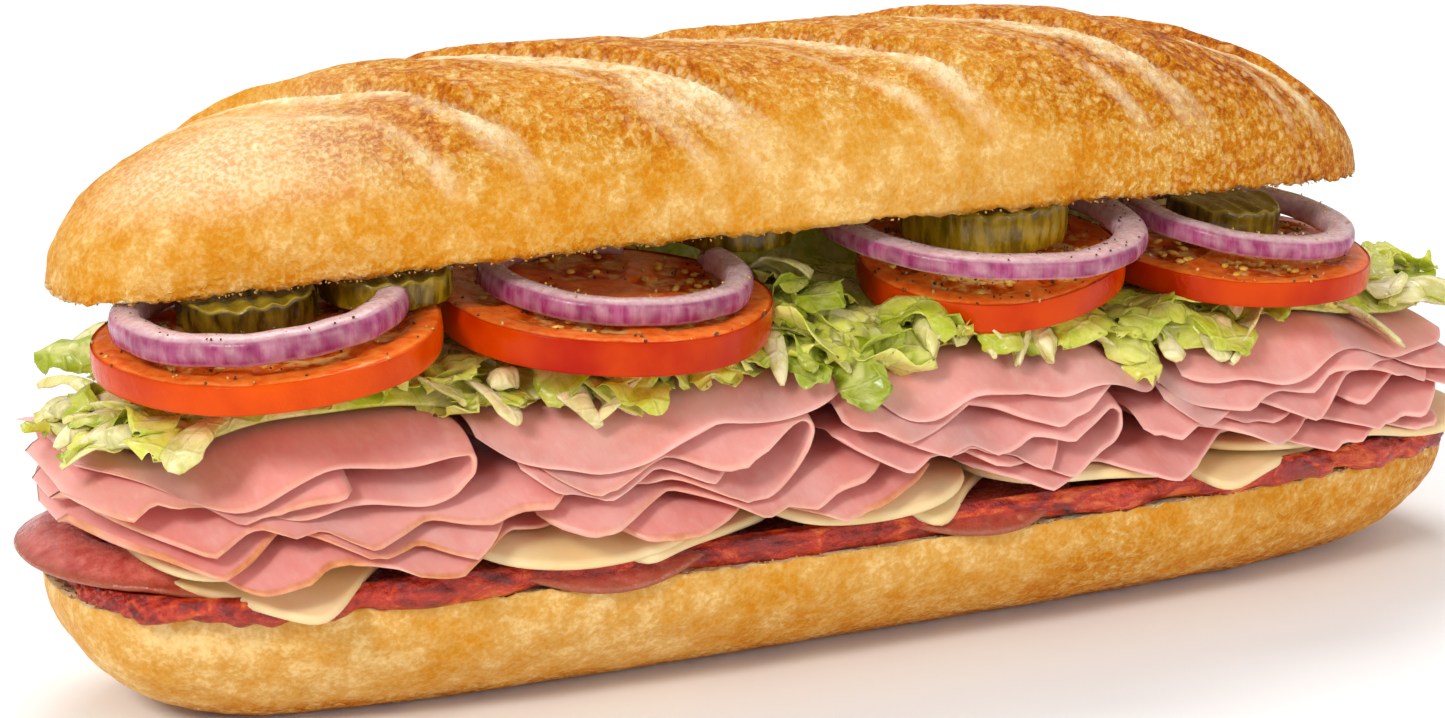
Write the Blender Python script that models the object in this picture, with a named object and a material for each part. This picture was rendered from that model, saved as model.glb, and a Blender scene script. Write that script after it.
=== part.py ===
"""A filled submarine sandwich: a long roll cut through its side, with cured meat, cheese, folded ham,
lettuce, tomato, red onion and pickle between the halves.

Metres, +Z up, +X along the roll, the open front towards -Y. The origin is on the ground under the middle.
"""

import math

import bpy
from mathutils import Euler, Vector

# ---- driving dimensions ---------------------------------------------------------------------------
GAP = 0.0004  # clear space left between pieces that touch

ROLL_LENGTH = 0.300
HEEL_WIDTH = 0.0865  # bottom half of the roll
HEEL_HEIGHT = 0.0246
HEEL_PLAN = (3.8, 2.9)  # exponents of the plan outline at foot and cut: 2 is an ellipse, more is squarer
HEEL_FOOT_INSET = (0.027, 0.0235)  # how far the flat foot lies inside the cut, at the ends and the sides
HEEL_TUCK = math.radians(96)  # the side curves in again just under the cut
HEEL_BELLY = 0.8  # below 1, the side stands fuller than a plain round

CROWN_LENGTH = 0.278
CROWN_WIDTH = 0.0745
CROWN_HEIGHT = 0.0330
CROWN_CENTRE = (-0.0072, 0.0055)
CROWN_RIM_LEVEL = 0.0840
CROWN_PLAN = (3.1, 2.4)  # exponents along and across the loaf
CROWN_FLANK = 0.43  # below a half, the crust rises steeper from its edge
CROWN_SWELL = (0.04, 0.069, 0.17)  # share of extra height, where along the loaf, and how often
CROWN_BULGE = 0.02  # share by which the flanks stand out past the crust's edge
CROWN_LEAN = 0.0083
CROWN_ARCH = 0.0083  # how far the crown's ends bend down
CROWN_HOLLOW = 0.0055  # the crumb is pressed up this far above the crust's lower edge
CROWN_HOLLOW_RIM = 0.86  # share of the outline where the hollow begins

SLASH_COUNT = 5
SLASH_FIRST_X = -0.098
SLASH_PITCH = 0.0475
SLASH_TURN = math.radians(44)  # slash direction against the loaf's length
SLASH_LENGTH = 0.074
SLASH_WIDTH = 0.0085
SLASH_DEPTH = 0.0022
SLASH_FADE = (0.1875, 0.8125)  # share of the crown's rise where a slash begins, and where it is full

STACK_HALF = (0.1565, 0.0432)  # half length and half width of the filling at reach 1
STACK_PLAN = 3.0
BEND_RADIUS = 0.014  # how tightly a limp layer bends over the edge
DROOP_START = (0.0425, 0.0300)  # reach where the lowest and the top layer begin to bend down
DROOP_SLOPE = (16, 38)  # degrees at which the lowest and the top layer then hang

SALAMI_LEVELS = (0.0258, 0.0282)
SALAMI_THICK = 0.0012
CHEESE_LEVELS = (0.0309, 0.0340)
CHEESE_THICK = 0.0018
HAM_FIRST_LEVEL = 0.0370
HAM_PITCH = 0.0040
HAM_THICK = 0.0015
HAM_ROWS = 6
LETTUCE_LEVEL = 0.0600
LETTUCE_THICK = 0.0092
LETTUCE_HALF = (0.1550, 0.0370)
LETTUCE_PLAN = (3.4, 0.38)  # exponents of the heap's outline along and across
LETTUCE_EDGE = 0.0028  # thickness left at the heap's edge
LETTUCE_LEAST = 0.0016  # thickness left where a tomato presses on it
LETTUCE_HEAP = 0.0010  # how high its top waves
LETTUCE_RAGGED = 0.05  # share by which its sides run in and out
LETTUCE_END_LIFT = 0.0010  # the heap's underside stands clear of the ham at the ends
LETTUCE_PRESSED = 0.018  # how far round a tomato the lettuce is pressed down
END_TIP = 0.0025  # how far the lettuce's ends run in and out

BACK_START = 0.0208  # behind the tomatoes the lettuce fills the sandwich up to the crown
BACK_GAP = 0.0018  # left below the crown's rim
BACK_FADE = (0.14, 0.86, 0.10)  # the filled part ends this near the back edge, this far along, this soon

HEEL_LEAN = 0.008  # slope of the heel's cut, falling towards +X
HAM_LEAN = 0.016  # slope of the ham's top
HAM_ARCH = 0.0040  # how far the ham's ends settle
HAM_SWAY = (0.0010, 0.065)  # the ham's top rises and falls along the sandwich: height and length
RUFFLE = (0.0010, 0.031)  # ruffles of the ham's hanging edges: height and length
RUFFLE_START = (0.031, 0.012)  # reach where the ruffles begin, and how soon they are full
RUFFLE_SKEW = 40.0  # radians per metre by which the ruffles slant in plan


# ---- helpers --------------------------------------------------------------------------------------
def blend(a, b, share):
    return a + (b - a) * share


def clamp(value, low=0.0, high=1.0):
    return max(low, min(high, value))


def plan_norm(x, y, half, exponent):
    """0 at the middle and 1 on the rounded plan outline."""
    return (abs(x / half[0]) ** exponent + abs(y / half[1]) ** exponent) ** (1 / exponent)


def reach_at(x, y):
    """Distance out from the filling's long middle line, measured as it is at mid-length."""
    return plan_norm(x, y, STACK_HALF, STACK_PLAN) * STACK_HALF[1]


def half_width_at(x, reach):
    """The y where the outline of that reach lies at x, or nothing past its end."""
    left = (reach / STACK_HALF[1]) ** STACK_PLAN - abs(x / STACK_HALF[0]) ** STACK_PLAN
    return STACK_HALF[1] * max(left, 0.0) ** (1 / STACK_PLAN)


def up_share(level):
    """0 at the heel's cut and 1 at the ham's top row."""
    top = HAM_FIRST_LEVEL + HAM_PITCH * (HAM_ROWS - 1)
    return clamp((level - HEEL_HEIGHT) / (top - HEEL_HEIGHT), 0.0, 1.1)


def lean(x, level):
    """How far a level settles at x: the stack falls a little to +X and its ends bend down."""
    share = up_share(level)
    slope = blend(HEEL_LEAN, HAM_LEAN, share)
    arch = HAM_ARCH * (x / (ROLL_LENGTH / 2)) ** 2
    sway = HAM_SWAY[0] * math.cos(x / HAM_SWAY[1] * math.pi)
    return -slope * x + share * (sway - arch)


def sunk(past, slope):
    """Drop of a limp layer at a distance past the start of its bend: an arc, then a straight slope."""
    if past <= 0:
        return 0.0
    arc = BEND_RADIUS * math.sin(slope)
    if past < arc:
        return BEND_RADIUS - math.sqrt(BEND_RADIUS**2 - past**2)
    return BEND_RADIUS * (1 - math.cos(slope)) + (past - arc) * math.tan(slope)


def layer_z(level, x, y):
    """Height at (x, y) of the layer that lies at that level in the flat middle of the filling."""
    share = up_share(level)
    start = blend(*DROOP_START, share)
    slope = math.radians(blend(*DROOP_SLOPE, share))
    reach = reach_at(x, y)
    grown = share * clamp((reach - RUFFLE_START[0]) / RUFFLE_START[1])
    ruffle = RUFFLE[0] * grown * math.sin(math.tau * x / RUFFLE[1] + RUFFLE_SKEW * y)
    return level - sunk(reach - start, slope) + lean(x, level) + ruffle


def material(name, colour, roughness):
    made = bpy.data.materials.new(name)
    made.use_nodes = True
    shader = made.node_tree.nodes["Principled BSDF"]
    shader.inputs["Base Color"].default_value = (*colour, 1)
    shader.inputs["Roughness"].default_value = roughness
    made.diffuse_color = (*colour, 1)
    return made


def add_object(name, points, faces, look):
    mesh = bpy.data.meshes.new(name)
    mesh.from_pydata([tuple(p) for p in points], [], faces)
    mesh.validate()
    mesh.materials.append(look)
    mesh.shade_smooth()
    mesh.set_sharp_from_angle(angle=math.radians(40))
    made = bpy.data.objects.new(name, mesh)
    bpy.context.scene.collection.objects.link(made)
    return made


def ring_faces(count, rings, first=0, closed=False):
    """Quads between successive rings of points; closed joins the last ring to the first."""
    faces = []
    for ring in range(rings if closed else rings - 1):
        low, high = first + ring * count, first + (ring + 1) % rings * count
        for i in range(count):
            j = (i + 1) % count
            faces.append((low + i, low + j, high + j, high + i))
    return faces


def capped_rings(name, rings, look):
    """A solid from closed rings of points, bottom to top, each running anticlockwise seen from above."""
    count = len(rings[0])
    points = [p for ring in rings for p in ring]
    faces = ring_faces(count, len(rings))
    faces.append(tuple(reversed(range(count))))
    faces.append(tuple(range(len(points) - count, len(points))))
    return add_object(name, points, faces, look)


def fan_sheet(name, outline, shares, top, bottom, look):
    """A sheet from its plan outline: rings at shares of the way out from the middle, on both sides."""
    count = len(outline)
    middle = [sum(p[axis] for p in outline) / count for axis in (0, 1)]

    def side(height):
        made = [(middle[0], middle[1], height(*middle))]
        for share in shares:
            for x, y in outline:
                px, py = blend(middle[0], x, share), blend(middle[1], y, share)
                made.append((px, py, height(px, py)))
        return made

    upper, lower = side(top), side(bottom)
    shift = len(upper)
    faces = []
    for i in range(count):
        j = (i + 1) % count
        faces.append((0, 1 + i, 1 + j))
        faces.append((shift, shift + 1 + j, shift + 1 + i))
    faces += [tuple(reversed(f)) for f in ring_faces(count, len(shares), 1)]
    faces += ring_faces(count, len(shares), shift + 1)
    rim = 1 + (len(shares) - 1) * count
    for i in range(count):
        j = (i + 1) % count
        faces.append((rim + i, shift + rim + i, shift + rim + j, rim + j))
    return add_object(name, upper + lower, faces, look)


def grid_sheet(name, upper, lower, look):
    """A sheet from two equal grids of points, its upper and its lower side, closed round all four edges."""
    rows, columns = len(upper), len(upper[0])
    points = [p for row in upper for p in row] + [p for row in lower for p in row]
    shift = rows * columns

    def at(i, j):
        return i * columns + j

    faces = []
    for i in range(rows - 1):
        for j in range(columns - 1):
            quad = (at(i, j), at(i + 1, j), at(i + 1, j + 1), at(i, j + 1))
            faces.append(quad)
            faces.append(tuple(shift + k for k in reversed(quad)))
    rim = [at(i, 0) for i in range(rows)]
    rim += [at(rows - 1, j) for j in range(1, columns)]
    rim += [at(i, columns - 1) for i in range(rows - 2, -1, -1)]
    rim += [at(0, j) for j in range(columns - 2, 0, -1)]
    for a, b in zip(rim, rim[1:] + rim[:1]):
        faces.append((b, a, shift + a, shift + b))
    return add_object(name, points, faces, look)


# ---- the roll -------------------------------------------------------------------------------------
def superellipse(half, exponent, count):
    made = []
    for i in range(count):
        c, s = math.cos(math.tau * i / count), math.sin(math.tau * i / count)
        made.append(
            (
                half[0] * math.copysign(abs(c) ** (2 / exponent), c),
                half[1] * math.copysign(abs(s) ** (2 / exponent), s),
            )
        )
    return made


def build_heel(look):
    """Bottom half: a flat foot, sides that round up and tuck in under the cut."""
    rings, steps, around = [], 6, 36
    top = 1 - math.cos(HEEL_TUCK)
    for step in range(steps + 1):
        turn = HEEL_TUCK * step / steps
        rise = (1 - math.cos(turn)) / top
        inset = 1 - math.sin(turn)
        half = (
            ROLL_LENGTH / 2 - HEEL_FOOT_INSET[0] * inset,
            HEEL_WIDTH / 2 - HEEL_FOOT_INSET[1] * inset,
        )
        ring = []
        plan = blend(HEEL_PLAN[0], HEEL_PLAN[1], 1 - inset)
        for x, y in superellipse(half, plan, around):
            ring.append((x, y, rise**HEEL_BELLY * (HEEL_HEIGHT + lean(x, HEEL_HEIGHT))))
        rings.append(ring)
    return capped_rings("bun_bottom", rings, look)


def slash_relief(x, y):
    """Height of the crust over its plain dome: diagonal slashes, with the loaf swelling between them."""
    total = 0.0
    for i in range(SLASH_COUNT):
        dx, dy = x - (SLASH_FIRST_X + SLASH_PITCH * i), y
        along = dx * math.cos(SLASH_TURN) - dy * math.sin(SLASH_TURN)
        across = dx * math.sin(SLASH_TURN) + dy * math.cos(SLASH_TURN)
        fade = clamp(1 - (2 * along / SLASH_LENGTH) ** 2)
        total -= SLASH_DEPTH * fade * math.exp(-((across / SLASH_WIDTH) ** 2))
    return total


def crown_rim_z(x):
    return CROWN_RIM_LEVEL - CROWN_LEAN * x - CROWN_ARCH * abs(x / (ROLL_LENGTH / 2)) ** 3


def crown_point(s, v):
    """A point of the crown's crust: s runs end to end and v side to side, each from -1 to 1."""
    half = (CROWN_LENGTH / 2, CROWN_WIDTH / 2)
    x = half[0] * math.sin(s * math.pi / 2)
    along = abs(x / half[0]) ** CROWN_PLAN[0]
    widest = half[1] * max(1 - along, 0.0) ** (1 / CROWN_PLAN[1])
    y = widest * math.sin(v * math.pi / 2)
    rise = clamp(1 - along - abs(y / half[1]) ** CROWN_PLAN[1]) ** CROWN_FLANK
    relief = slash_relief(x, y) * clamp((rise - SLASH_FADE[0]) / (SLASH_FADE[1] - SLASH_FADE[0]))
    more, at, every = CROWN_SWELL
    height = CROWN_HEIGHT * (1 + more * math.cos(math.tau * (x - at) / every))
    wider = 1 + CROWN_BULGE * math.sin(math.pi * clamp(rise * 1.25))
    px, py = x + CROWN_CENTRE[0], y * wider + CROWN_CENTRE[1]
    return px, py, crown_rim_z(px) + height * rise + relief


def crown_cut_point(s, v):
    """A point of the crown's cut face, which is pressed hollow by the filling."""
    half = (CROWN_LENGTH / 2, CROWN_WIDTH / 2)
    x = half[0] * math.sin(s * math.pi / 2)
    widest = half[1] * max(1 - abs(x / half[0]) ** CROWN_PLAN[0], 0.0) ** (1 / CROWN_PLAN[1])
    y = widest * v
    norm = (abs(x / half[0]) ** CROWN_PLAN[0] + abs(y / half[1]) ** CROWN_PLAN[1]) ** (1 / CROWN_PLAN[1])
    press = clamp((1 - norm) / (1 - CROWN_HOLLOW_RIM))
    px, py = x + CROWN_CENTRE[0], y + CROWN_CENTRE[1]
    hollow = CROWN_HOLLOW * press * press * (3 - 2 * press)
    return px, py, crown_rim_z(px) + hollow


def build_crown(look):
    """Top half: one strip of quads over the crust and back under the cut face at each station along it."""
    stations, over, under = 28, 12, 6
    rings = []
    for i in range(1, stations):
        s = -1 + 2 * i / stations
        crust = [crown_point(s, -1 + 2 * j / over) for j in range(over + 1)]
        cut = [crown_cut_point(s, 1 - 2 * j / under) for j in range(1, under)]
        rings.append(crust + cut)
    points = [p for ring in rings for p in ring]
    count = len(rings[0])
    faces = [tuple(reversed(f)) for f in ring_faces(count, len(rings))]
    for s, first, flip in ((-1, 0, True), (1, len(points) - count, False)):
        tip = len(points)
        points.append(crown_point(s, 0))
        for i in range(count):
            edge = (first + i, first + (i + 1) % count)
            faces.append((edge[0], edge[1], tip) if flip else (edge[1], edge[0], tip))
    return add_object("bun_top", points, faces, look)


# ---- flat layers ----------------------------------------------------------------------------------
def round_outline(centre, radius, count, wave=0.0, lobes=5, turn=0.0):
    made = []
    for i in range(count):
        angle = math.tau * i / count
        r = radius * (1 + wave * math.sin(lobes * angle + turn))
        made.append((centre[0] + r * math.cos(angle), centre[1] + r * math.sin(angle)))
    return made


CHEESE_SQUARE = 7.0  # exponent of the outline of a slice with sharp corners


def square_outline(centre, half, turn, corner, count):
    """A cheese slice with worn corners, turned in plan. More corner rounds it towards a disc."""
    exponent = blend(CHEESE_SQUARE, 2.0, corner)
    made = []
    for x, y in superellipse(half, exponent, count):
        made.append(
            (
                centre[0] + x * math.cos(turn) - y * math.sin(turn),
                centre[1] + x * math.sin(turn) + y * math.cos(turn),
            )
        )
    return made


def build_layer(name, outline, level, thick, look):
    return fan_sheet(
        name,
        outline,
        (0.72, 1.0),
        lambda x, y: layer_z(level, x, y) + thick / 2,
        lambda x, y: layer_z(level, x, y) - thick / 2,
        look,
    )


SALAMI = (  # row, centre x and y, radius
    (0, -0.1150, -0.0020, 0.0370),
    (0, -0.0390, -0.0040, 0.0365),
    (0, 0.0360, 0.0000, 0.0365),
    (0, 0.1080, -0.0020, 0.0340),
    (1, -0.1210, -0.0080, 0.0345),
    (1, -0.0500, -0.0075, 0.0345),
    (1, 0.0200, -0.0075, 0.0340),
    (1, 0.0890, -0.0050, 0.0335),
)


def build_salami(look):
    for i, (row, x, y, radius) in enumerate(SALAMI):
        outline = round_outline((x, y), radius, 14, 0.015, 4, i)
        build_layer(f"salami_{i + 1}", outline, SALAMI_LEVELS[row], SALAMI_THICK, look)


CHEESE = (  # row, centre x and y, half sides along and across, turn in degrees, corner
    (0, -0.1075, -0.0095, 0.0300, 0.0215, 45, 0.05),
    (0, -0.0500, -0.0060, 0.0180, 0.0380, 20, 0.10),
    (0, 0.0105, -0.0060, 0.0265, 0.0265, 45, 0.15),
    (0, 0.0800, -0.0050, 0.0260, 0.0360, 25, 0.05),
    (1, -0.1150, -0.0060, 0.0270, 0.0380, 4, 0.75),
    (1, -0.0590, -0.0060, 0.0265, 0.0400, -3, 0.80),
    (1, -0.0050, -0.0070, 0.0255, 0.0390, 2, 0.80),
    (1, 0.0480, -0.0060, 0.0255, 0.0400, -3, 0.50),
    (1, 0.1110, 0.0000, 0.0350, 0.0400, 3, 0.40),
)


def build_cheese(look):
    for i, (row, x, y, long, wide, turn, corner) in enumerate(CHEESE):
        outline = square_outline((x, y), (long, wide), math.radians(turn), corner, 16)
        build_layer(f"cheese_{i + 1}", outline, CHEESE_LEVELS[row], CHEESE_THICK, look)


# ---- folded ham -----------------------------------------------------------------------------------
# Each slice runs through the filling from the front to the back. Its legs are (row, from x, to x), and
# where there are two, the slice folds over between them. Tips are corners that hang out at the front,
# as (x, how far past the slice's edge).
HAM = (
    (((5, -0.149, -0.088), (3, -0.088, -0.122)), ((-0.126, 0.003), (-0.100, 0.001))),
    (((5, -0.082, -0.010),), ((-0.058, 0.003), (-0.026, 0.001))),
    (((5, -0.004, 0.060),), ((0.012, 0.002), (0.044, 0.002))),
    (((5, 0.066, 0.146),), ((0.090, 0.003), (0.118, 0.001))),
    (((4, -0.152, -0.106),), ((-0.134, 0.003),)),
    (((4, -0.076, -0.022), (2, -0.022, -0.054)), ((-0.062, 0.004), (-0.036, 0.002))),
    (((4, -0.012, 0.052),), ((0.000, 0.004), (0.034, 0.003))),
    (((4, 0.058, 0.142), (2, 0.142, 0.104)), ((0.078, 0.004), (0.108, 0.003))),
    (((3, -0.075, -0.034),), ((-0.060, 0.003),)),
    (((3, -0.008, 0.046), (1, 0.046, 0.014)), ((0.008, 0.005), (0.036, 0.004))),
    (((3, 0.060, 0.130),), ((0.066, 0.004), (0.094, 0.004))),
    (((2, -0.151, -0.066),), ((-0.132, 0.005), (-0.104, 0.004), (-0.082, 0.002))),
    (((2, -0.012, 0.036),), ((0.000, 0.004),)),
    (((2, 0.054, 0.096),), ((0.060, 0.004),)),
    (((1, -0.148, -0.078),), ((-0.118, 0.005), (-0.092, 0.005))),
    (((1, -0.072, -0.002),), ((-0.062, 0.006), (-0.030, 0.004))),
    (((1, 0.060, 0.140),), ((0.082, 0.005), (0.110, 0.003))),
    (((0, -0.140, -0.066),), ((-0.112, 0.006), (-0.082, 0.005))),
    (((0, -0.060, 0.010),), ((-0.046, 0.006), (-0.014, 0.004))),
    (((0, 0.016, 0.130),), ((0.030, 0.004), (0.058, 0.005), (0.098, 0.003))),
)
HAM_EDGE = (0.0450, 0.0420)  # reach of the bottom and the top row's plain edge
TIP_HALF_WIDTH = 0.017
FOLD_REACH = 1.15  # a fold's loop stands out by this much of its half height
LEAST_HALF_WIDTH = 0.010  # of a slice where the filling's outline closes at its ends
BACK_TIPS = (10, -0.140, 0.031, 0.0093, 0.0045)  # count, first x, pitch, shift from slice to slice, out


def ham_level(row):
    return HAM_FIRST_LEVEL + HAM_PITCH * row


def ham_path(legs, step=0.0125):
    """The slice's line in the (x, level) plane, as points about a step apart."""
    path = []
    for i, (row, start, end) in enumerate(legs):
        count = max(3, round(abs(end - start) / step))
        for k in range(count + 1):
            path.append((blend(start, end, k / count), ham_level(row)))
        if i + 1 < len(legs):
            above, below = ham_level(row), ham_level(legs[i + 1][0])
            middle, half = (above + below) / 2, (above - below) / 2
            side = math.copysign(FOLD_REACH * abs(half), end - start)
            for k in range(1, 5):
                turn = math.pi * k / 5
                path.append((end + side * math.sin(turn), middle + half * math.cos(turn)))
    return path


def path_normals(path):
    made = []
    for i in range(len(path)):
        a, b = path[max(i - 1, 0)], path[min(i + 1, len(path) - 1)]
        dx, dz = b[0] - a[0], b[1] - a[1]
        size = math.hypot(dx, dz)
        made.append((-dz / size, dx / size))
    return made


def ham_edge(row, x, tips):
    reach = blend(HAM_EDGE[0], HAM_EDGE[1], row / (HAM_ROWS - 1))
    reach += max([0.0] + [out * clamp(1 - abs(x - at) / TIP_HALF_WIDTH) for at, out in tips])
    return max(half_width_at(x, reach), LEAST_HALF_WIDTH)


def back_tips(index):
    """Tips along the back edge, which lie elsewhere on each slice."""
    count, first, pitch, shift, out = BACK_TIPS
    return [(first + shift * index % pitch + pitch * k, out) for k in range(count)]


def build_ham(look):
    across = (-1.0, -0.86, -0.70, 0.70, 0.86, 1.0)
    for index, (legs, tips) in enumerate(HAM):
        path = ham_path(legs)
        normals = path_normals(path)
        row = legs[0][0]
        sides = []
        for offset in (HAM_THICK / 2, -HAM_THICK / 2):
            grid = []
            for (x, level), (nx, nz) in zip(path, normals):
                px, plevel = x + nx * offset, level + nz * offset
                line = []
                for v in across:
                    edge = ham_edge(row, x, tips if v < 0 else back_tips(index))
                    line.append((px, v * edge, layer_z(plevel, px, v * edge)))
                grid.append(line)
            sides.append(grid)
        grid_sheet(f"ham_{index + 1}", sides[0], sides[1], look)


# ---- salad ----------------------------------------------------------------------------------------
TOMATO = (  # centre of the upper face, radius, thickness, tilts in degrees, sag towards the left front
    ((-0.1133, -0.0180, 0.0737), 0.0318, 0.0055, 3, -5, 0.0),
    ((-0.0490, -0.0197, 0.0736), 0.0320, 0.0066, 4, 2, 0.0),
    ((0.0340, -0.0172, 0.0733), 0.0270, 0.0060, 8, -3, 2.5),
    ((0.0922, -0.0151, 0.0681), 0.0285, 0.0052, 5, 2, 0.0),
)
ONION = (  # centre of the upper face, outer radius, radial width, height, tilts, arc from and to
    ((-0.1150, -0.0180, 0.0794), 0.0264, 0.0058, 0.0046, 2, -5, 38, 333),
    ((-0.0468, -0.0195, 0.0785), 0.0256, 0.0052, 0.0042, 4.5, 2.5, 62, 372),
    ((0.0321, -0.0171, 0.0803), 0.0326, 0.0066, 0.0036, 5.5, 1.5, 0, 360),
    ((0.0938, -0.0150, 0.0752), 0.0240, 0.0060, 0.0038, 6.5, 6, 0, 360),
    ((-0.0385, 0.0030, 0.0774), 0.0225, 0.0045, 0.0019, 5, 2, -42, 30),
)
PICKLE = (  # centre of the upper face, radius, thickness, tilts
    ((-0.1160, -0.0140, 0.0799), 0.0125, 0.0056, 3, -5),
    ((-0.0905, -0.0165, 0.0818), 0.0120, 0.0050, 3, -2),
    ((-0.0150, -0.0030, 0.0820), 0.0120, 0.0048, 3, 1),
    ((0.0350, -0.0130, 0.0842), 0.0165, 0.0088, 6, -3),
    ((0.0930, -0.0110, 0.0764), 0.0115, 0.0066, 5, 4),
)
SAG_TOWARDS = math.radians(215)
SAG_REACH = 0.030  # a limp slice sags no further than this from its middle


def place(made, centre, tilt_x, tilt_y):
    made.location = centre
    made.rotation_euler = Euler((math.radians(tilt_x), math.radians(tilt_y), 0))
    return made


def disc_ring(radius, z, count, wave=0.0, lobes=0):
    return [(x, y, z) for x, y in round_outline((0, 0), radius, count, wave, lobes)]


def sagged(x, y, z, sag):
    along = x * math.cos(SAG_TOWARDS) + y * math.sin(SAG_TOWARDS)
    return x, y, z - sag * clamp(along, 0.0, SAG_REACH) ** 2


def build_tomatoes(look):
    count = 22
    for i, (centre, radius, thick, tilt_x, tilt_y, sag) in enumerate(TOMATO):
        rings = [
            disc_ring(radius * 0.5, -thick, count),
            disc_ring(radius * 0.955, -thick, count),
            disc_ring(radius, -thick * 0.4, count),
            disc_ring(radius * 0.99, 0.0, count),
            disc_ring(radius * 0.5, 0.0, count),
        ]
        rings = [[sagged(*p, sag) for p in ring] for ring in rings]
        place(capped_rings(f"tomato_{i + 1}", rings, look), centre, tilt_x, tilt_y)


def build_onions(look):
    """Rings of onion, whole or broken open; each is a band with a flat top that turns round the middle."""
    for i, (centre, radius, width, height, tilt_x, tilt_y, start, end) in enumerate(ONION):
        inner = radius - width
        profile = (
            (radius * 0.985, 0.0),
            (radius, -height * 0.4),
            (radius * 0.975, -height),
            (inner * 1.02, -height),
            (inner, 0.0),
        )
        whole = end - start >= 360
        steps = max(5, round((end - start) / 15))
        bands = []
        for k in range(steps if whole else steps + 1):
            turn = math.radians(blend(start, end, k / steps))
            bands.append([(r * math.cos(turn), r * math.sin(turn), z) for r, z in profile])
        points = [p for band in bands for p in band]
        faces = ring_faces(len(profile), len(bands), closed=whole)
        if not whole:
            faces.append(tuple(reversed(range(len(profile)))))
            faces.append(tuple(range(len(points) - len(profile), len(points))))
        place(add_object(f"onion_{i + 1}", points, faces, look), centre, tilt_x, tilt_y)


def build_pickles(look):
    for i, (centre, radius, thick, tilt_x, tilt_y) in enumerate(PICKLE):
        rings = [
            disc_ring(radius * 0.96, -thick, 18, 0.02, 5),
            disc_ring(radius, -thick * 0.5, 18, 0.02, 5),
            disc_ring(radius * 0.96, 0.0, 18, 0.02, 5),
        ]
        place(capped_rings(f"pickle_{i + 1}", rings, look), centre, tilt_x, tilt_y)


def tomato_floor(x, y, margin):
    """The lowest underside of the tomato slices over a point, or nothing where none is near."""
    lowest = None
    for centre, radius, thick, tilt_x, tilt_y, sag in TOMATO:
        turn = Euler((math.radians(tilt_x), math.radians(tilt_y), 0)).to_matrix()
        normal = turn @ Vector((0, 0, 1))
        foot = Vector(centre) - normal * thick
        dx, dy = x - foot.x, y - foot.y
        if math.hypot(dx, dy) > radius + margin:
            continue
        z = foot.z - (normal.x * dx + normal.y * dy) / normal.z
        z = sagged(dx, dy, z, sag)[2]
        lowest = z if lowest is None else min(lowest, z)
    return lowest


def lettuce_under(x, y):
    return layer_z(LETTUCE_LEVEL, x, y) + LETTUCE_END_LIFT * (x / LETTUCE_HALF[0]) ** 6


def lettuce_over(x, y, edge):
    """Top of the heap of lettuce: pressed by the tomatoes, and filling the back of the sandwich."""
    under = lettuce_under(x, y)
    heap = LETTUCE_HEAP * math.sin(210 * x + 1) * math.sin(160 * y + 2 + 60 * x)
    natural = under + LETTUCE_EDGE + (LETTUCE_THICK - LETTUCE_EDGE) * (1 - edge**3) + heap
    if y > BACK_START:
        side, far, soon = BACK_FADE
        full = clamp((1 - edge) / side) * clamp((far - abs(x) / LETTUCE_HALF[0]) / soon)
        return blend(natural, max(natural, crown_rim_z(x) - BACK_GAP + heap), full)
    floor = tomato_floor(x, y, LETTUCE_PRESSED)
    if floor is not None:
        natural = min(natural, floor - 3 * GAP)
    return max(natural, under + LETTUCE_LEAST)


def build_lettuce(look):
    across = (-1.0, -0.88, -0.64, -0.26, 0.14, 0.50, 0.64, 0.86, 1.0)
    stations = 26
    upper, lower = [], []
    for i in range(stations + 1):
        s = -1 + 2 * i / stations
        x = LETTUCE_HALF[0] * s
        ragged = 1 + LETTUCE_RAGGED * (math.sin(2.3 * i) + math.cos(math.tau * (x + 0.12) / 0.09))
        wide = LETTUCE_HALF[1] * max(1 - abs(s) ** LETTUCE_PLAN[0], 0.06) ** LETTUCE_PLAN[1] * ragged
        top, bottom = [], []
        for v in across:
            y = v * wide
            tip = END_TIP * max(0.0, abs(s) - 0.97) / 0.03
            px = x + math.copysign(tip * math.sin(9 * v + 1), s)
            top.append((px, y, lettuce_over(px, y, max(abs(v), abs(s) ** 4))))
            bottom.append((px, y, lettuce_under(px, y)))
        upper.append(top)
        lower.append(bottom)
    grid_sheet("lettuce", upper, lower, look)


# ---- the whole sandwich ---------------------------------------------------------------------------
def centre_on_origin():
    """Moves every piece so that the ground under the middle of the whole outline is the origin."""
    bpy.context.view_layer.update()
    corners = [made.matrix_world @ v.co for made in bpy.data.objects for v in made.data.vertices]
    middle_x = (min(p.x for p in corners) + max(p.x for p in corners)) / 2
    middle_y = (min(p.y for p in corners) + max(p.y for p in corners)) / 2
    for made in bpy.data.objects:
        made.location -= Vector((middle_x, middle_y, min(p.z for p in corners)))


def main():
    for old in list(bpy.data.objects):
        bpy.data.objects.remove(old)
    crust = material("bread_crust", (0.60, 0.34, 0.12), 0.62)
    build_heel(crust)
    build_salami(material("salami", (0.36, 0.05, 0.05), 0.35))
    build_cheese(material("cheese", (0.88, 0.72, 0.40), 0.45))
    build_ham(material("ham", (0.80, 0.36, 0.36), 0.40))
    build_lettuce(material("lettuce", (0.55, 0.66, 0.22), 0.45))
    build_tomatoes(material("tomato", (0.72, 0.09, 0.02), 0.25))
    build_onions(material("onion", (0.55, 0.20, 0.45), 0.30))
    build_pickles(material("pickle", (0.33, 0.34, 0.05), 0.30))
    build_crown(crust)
    centre_on_origin()


main()
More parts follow.
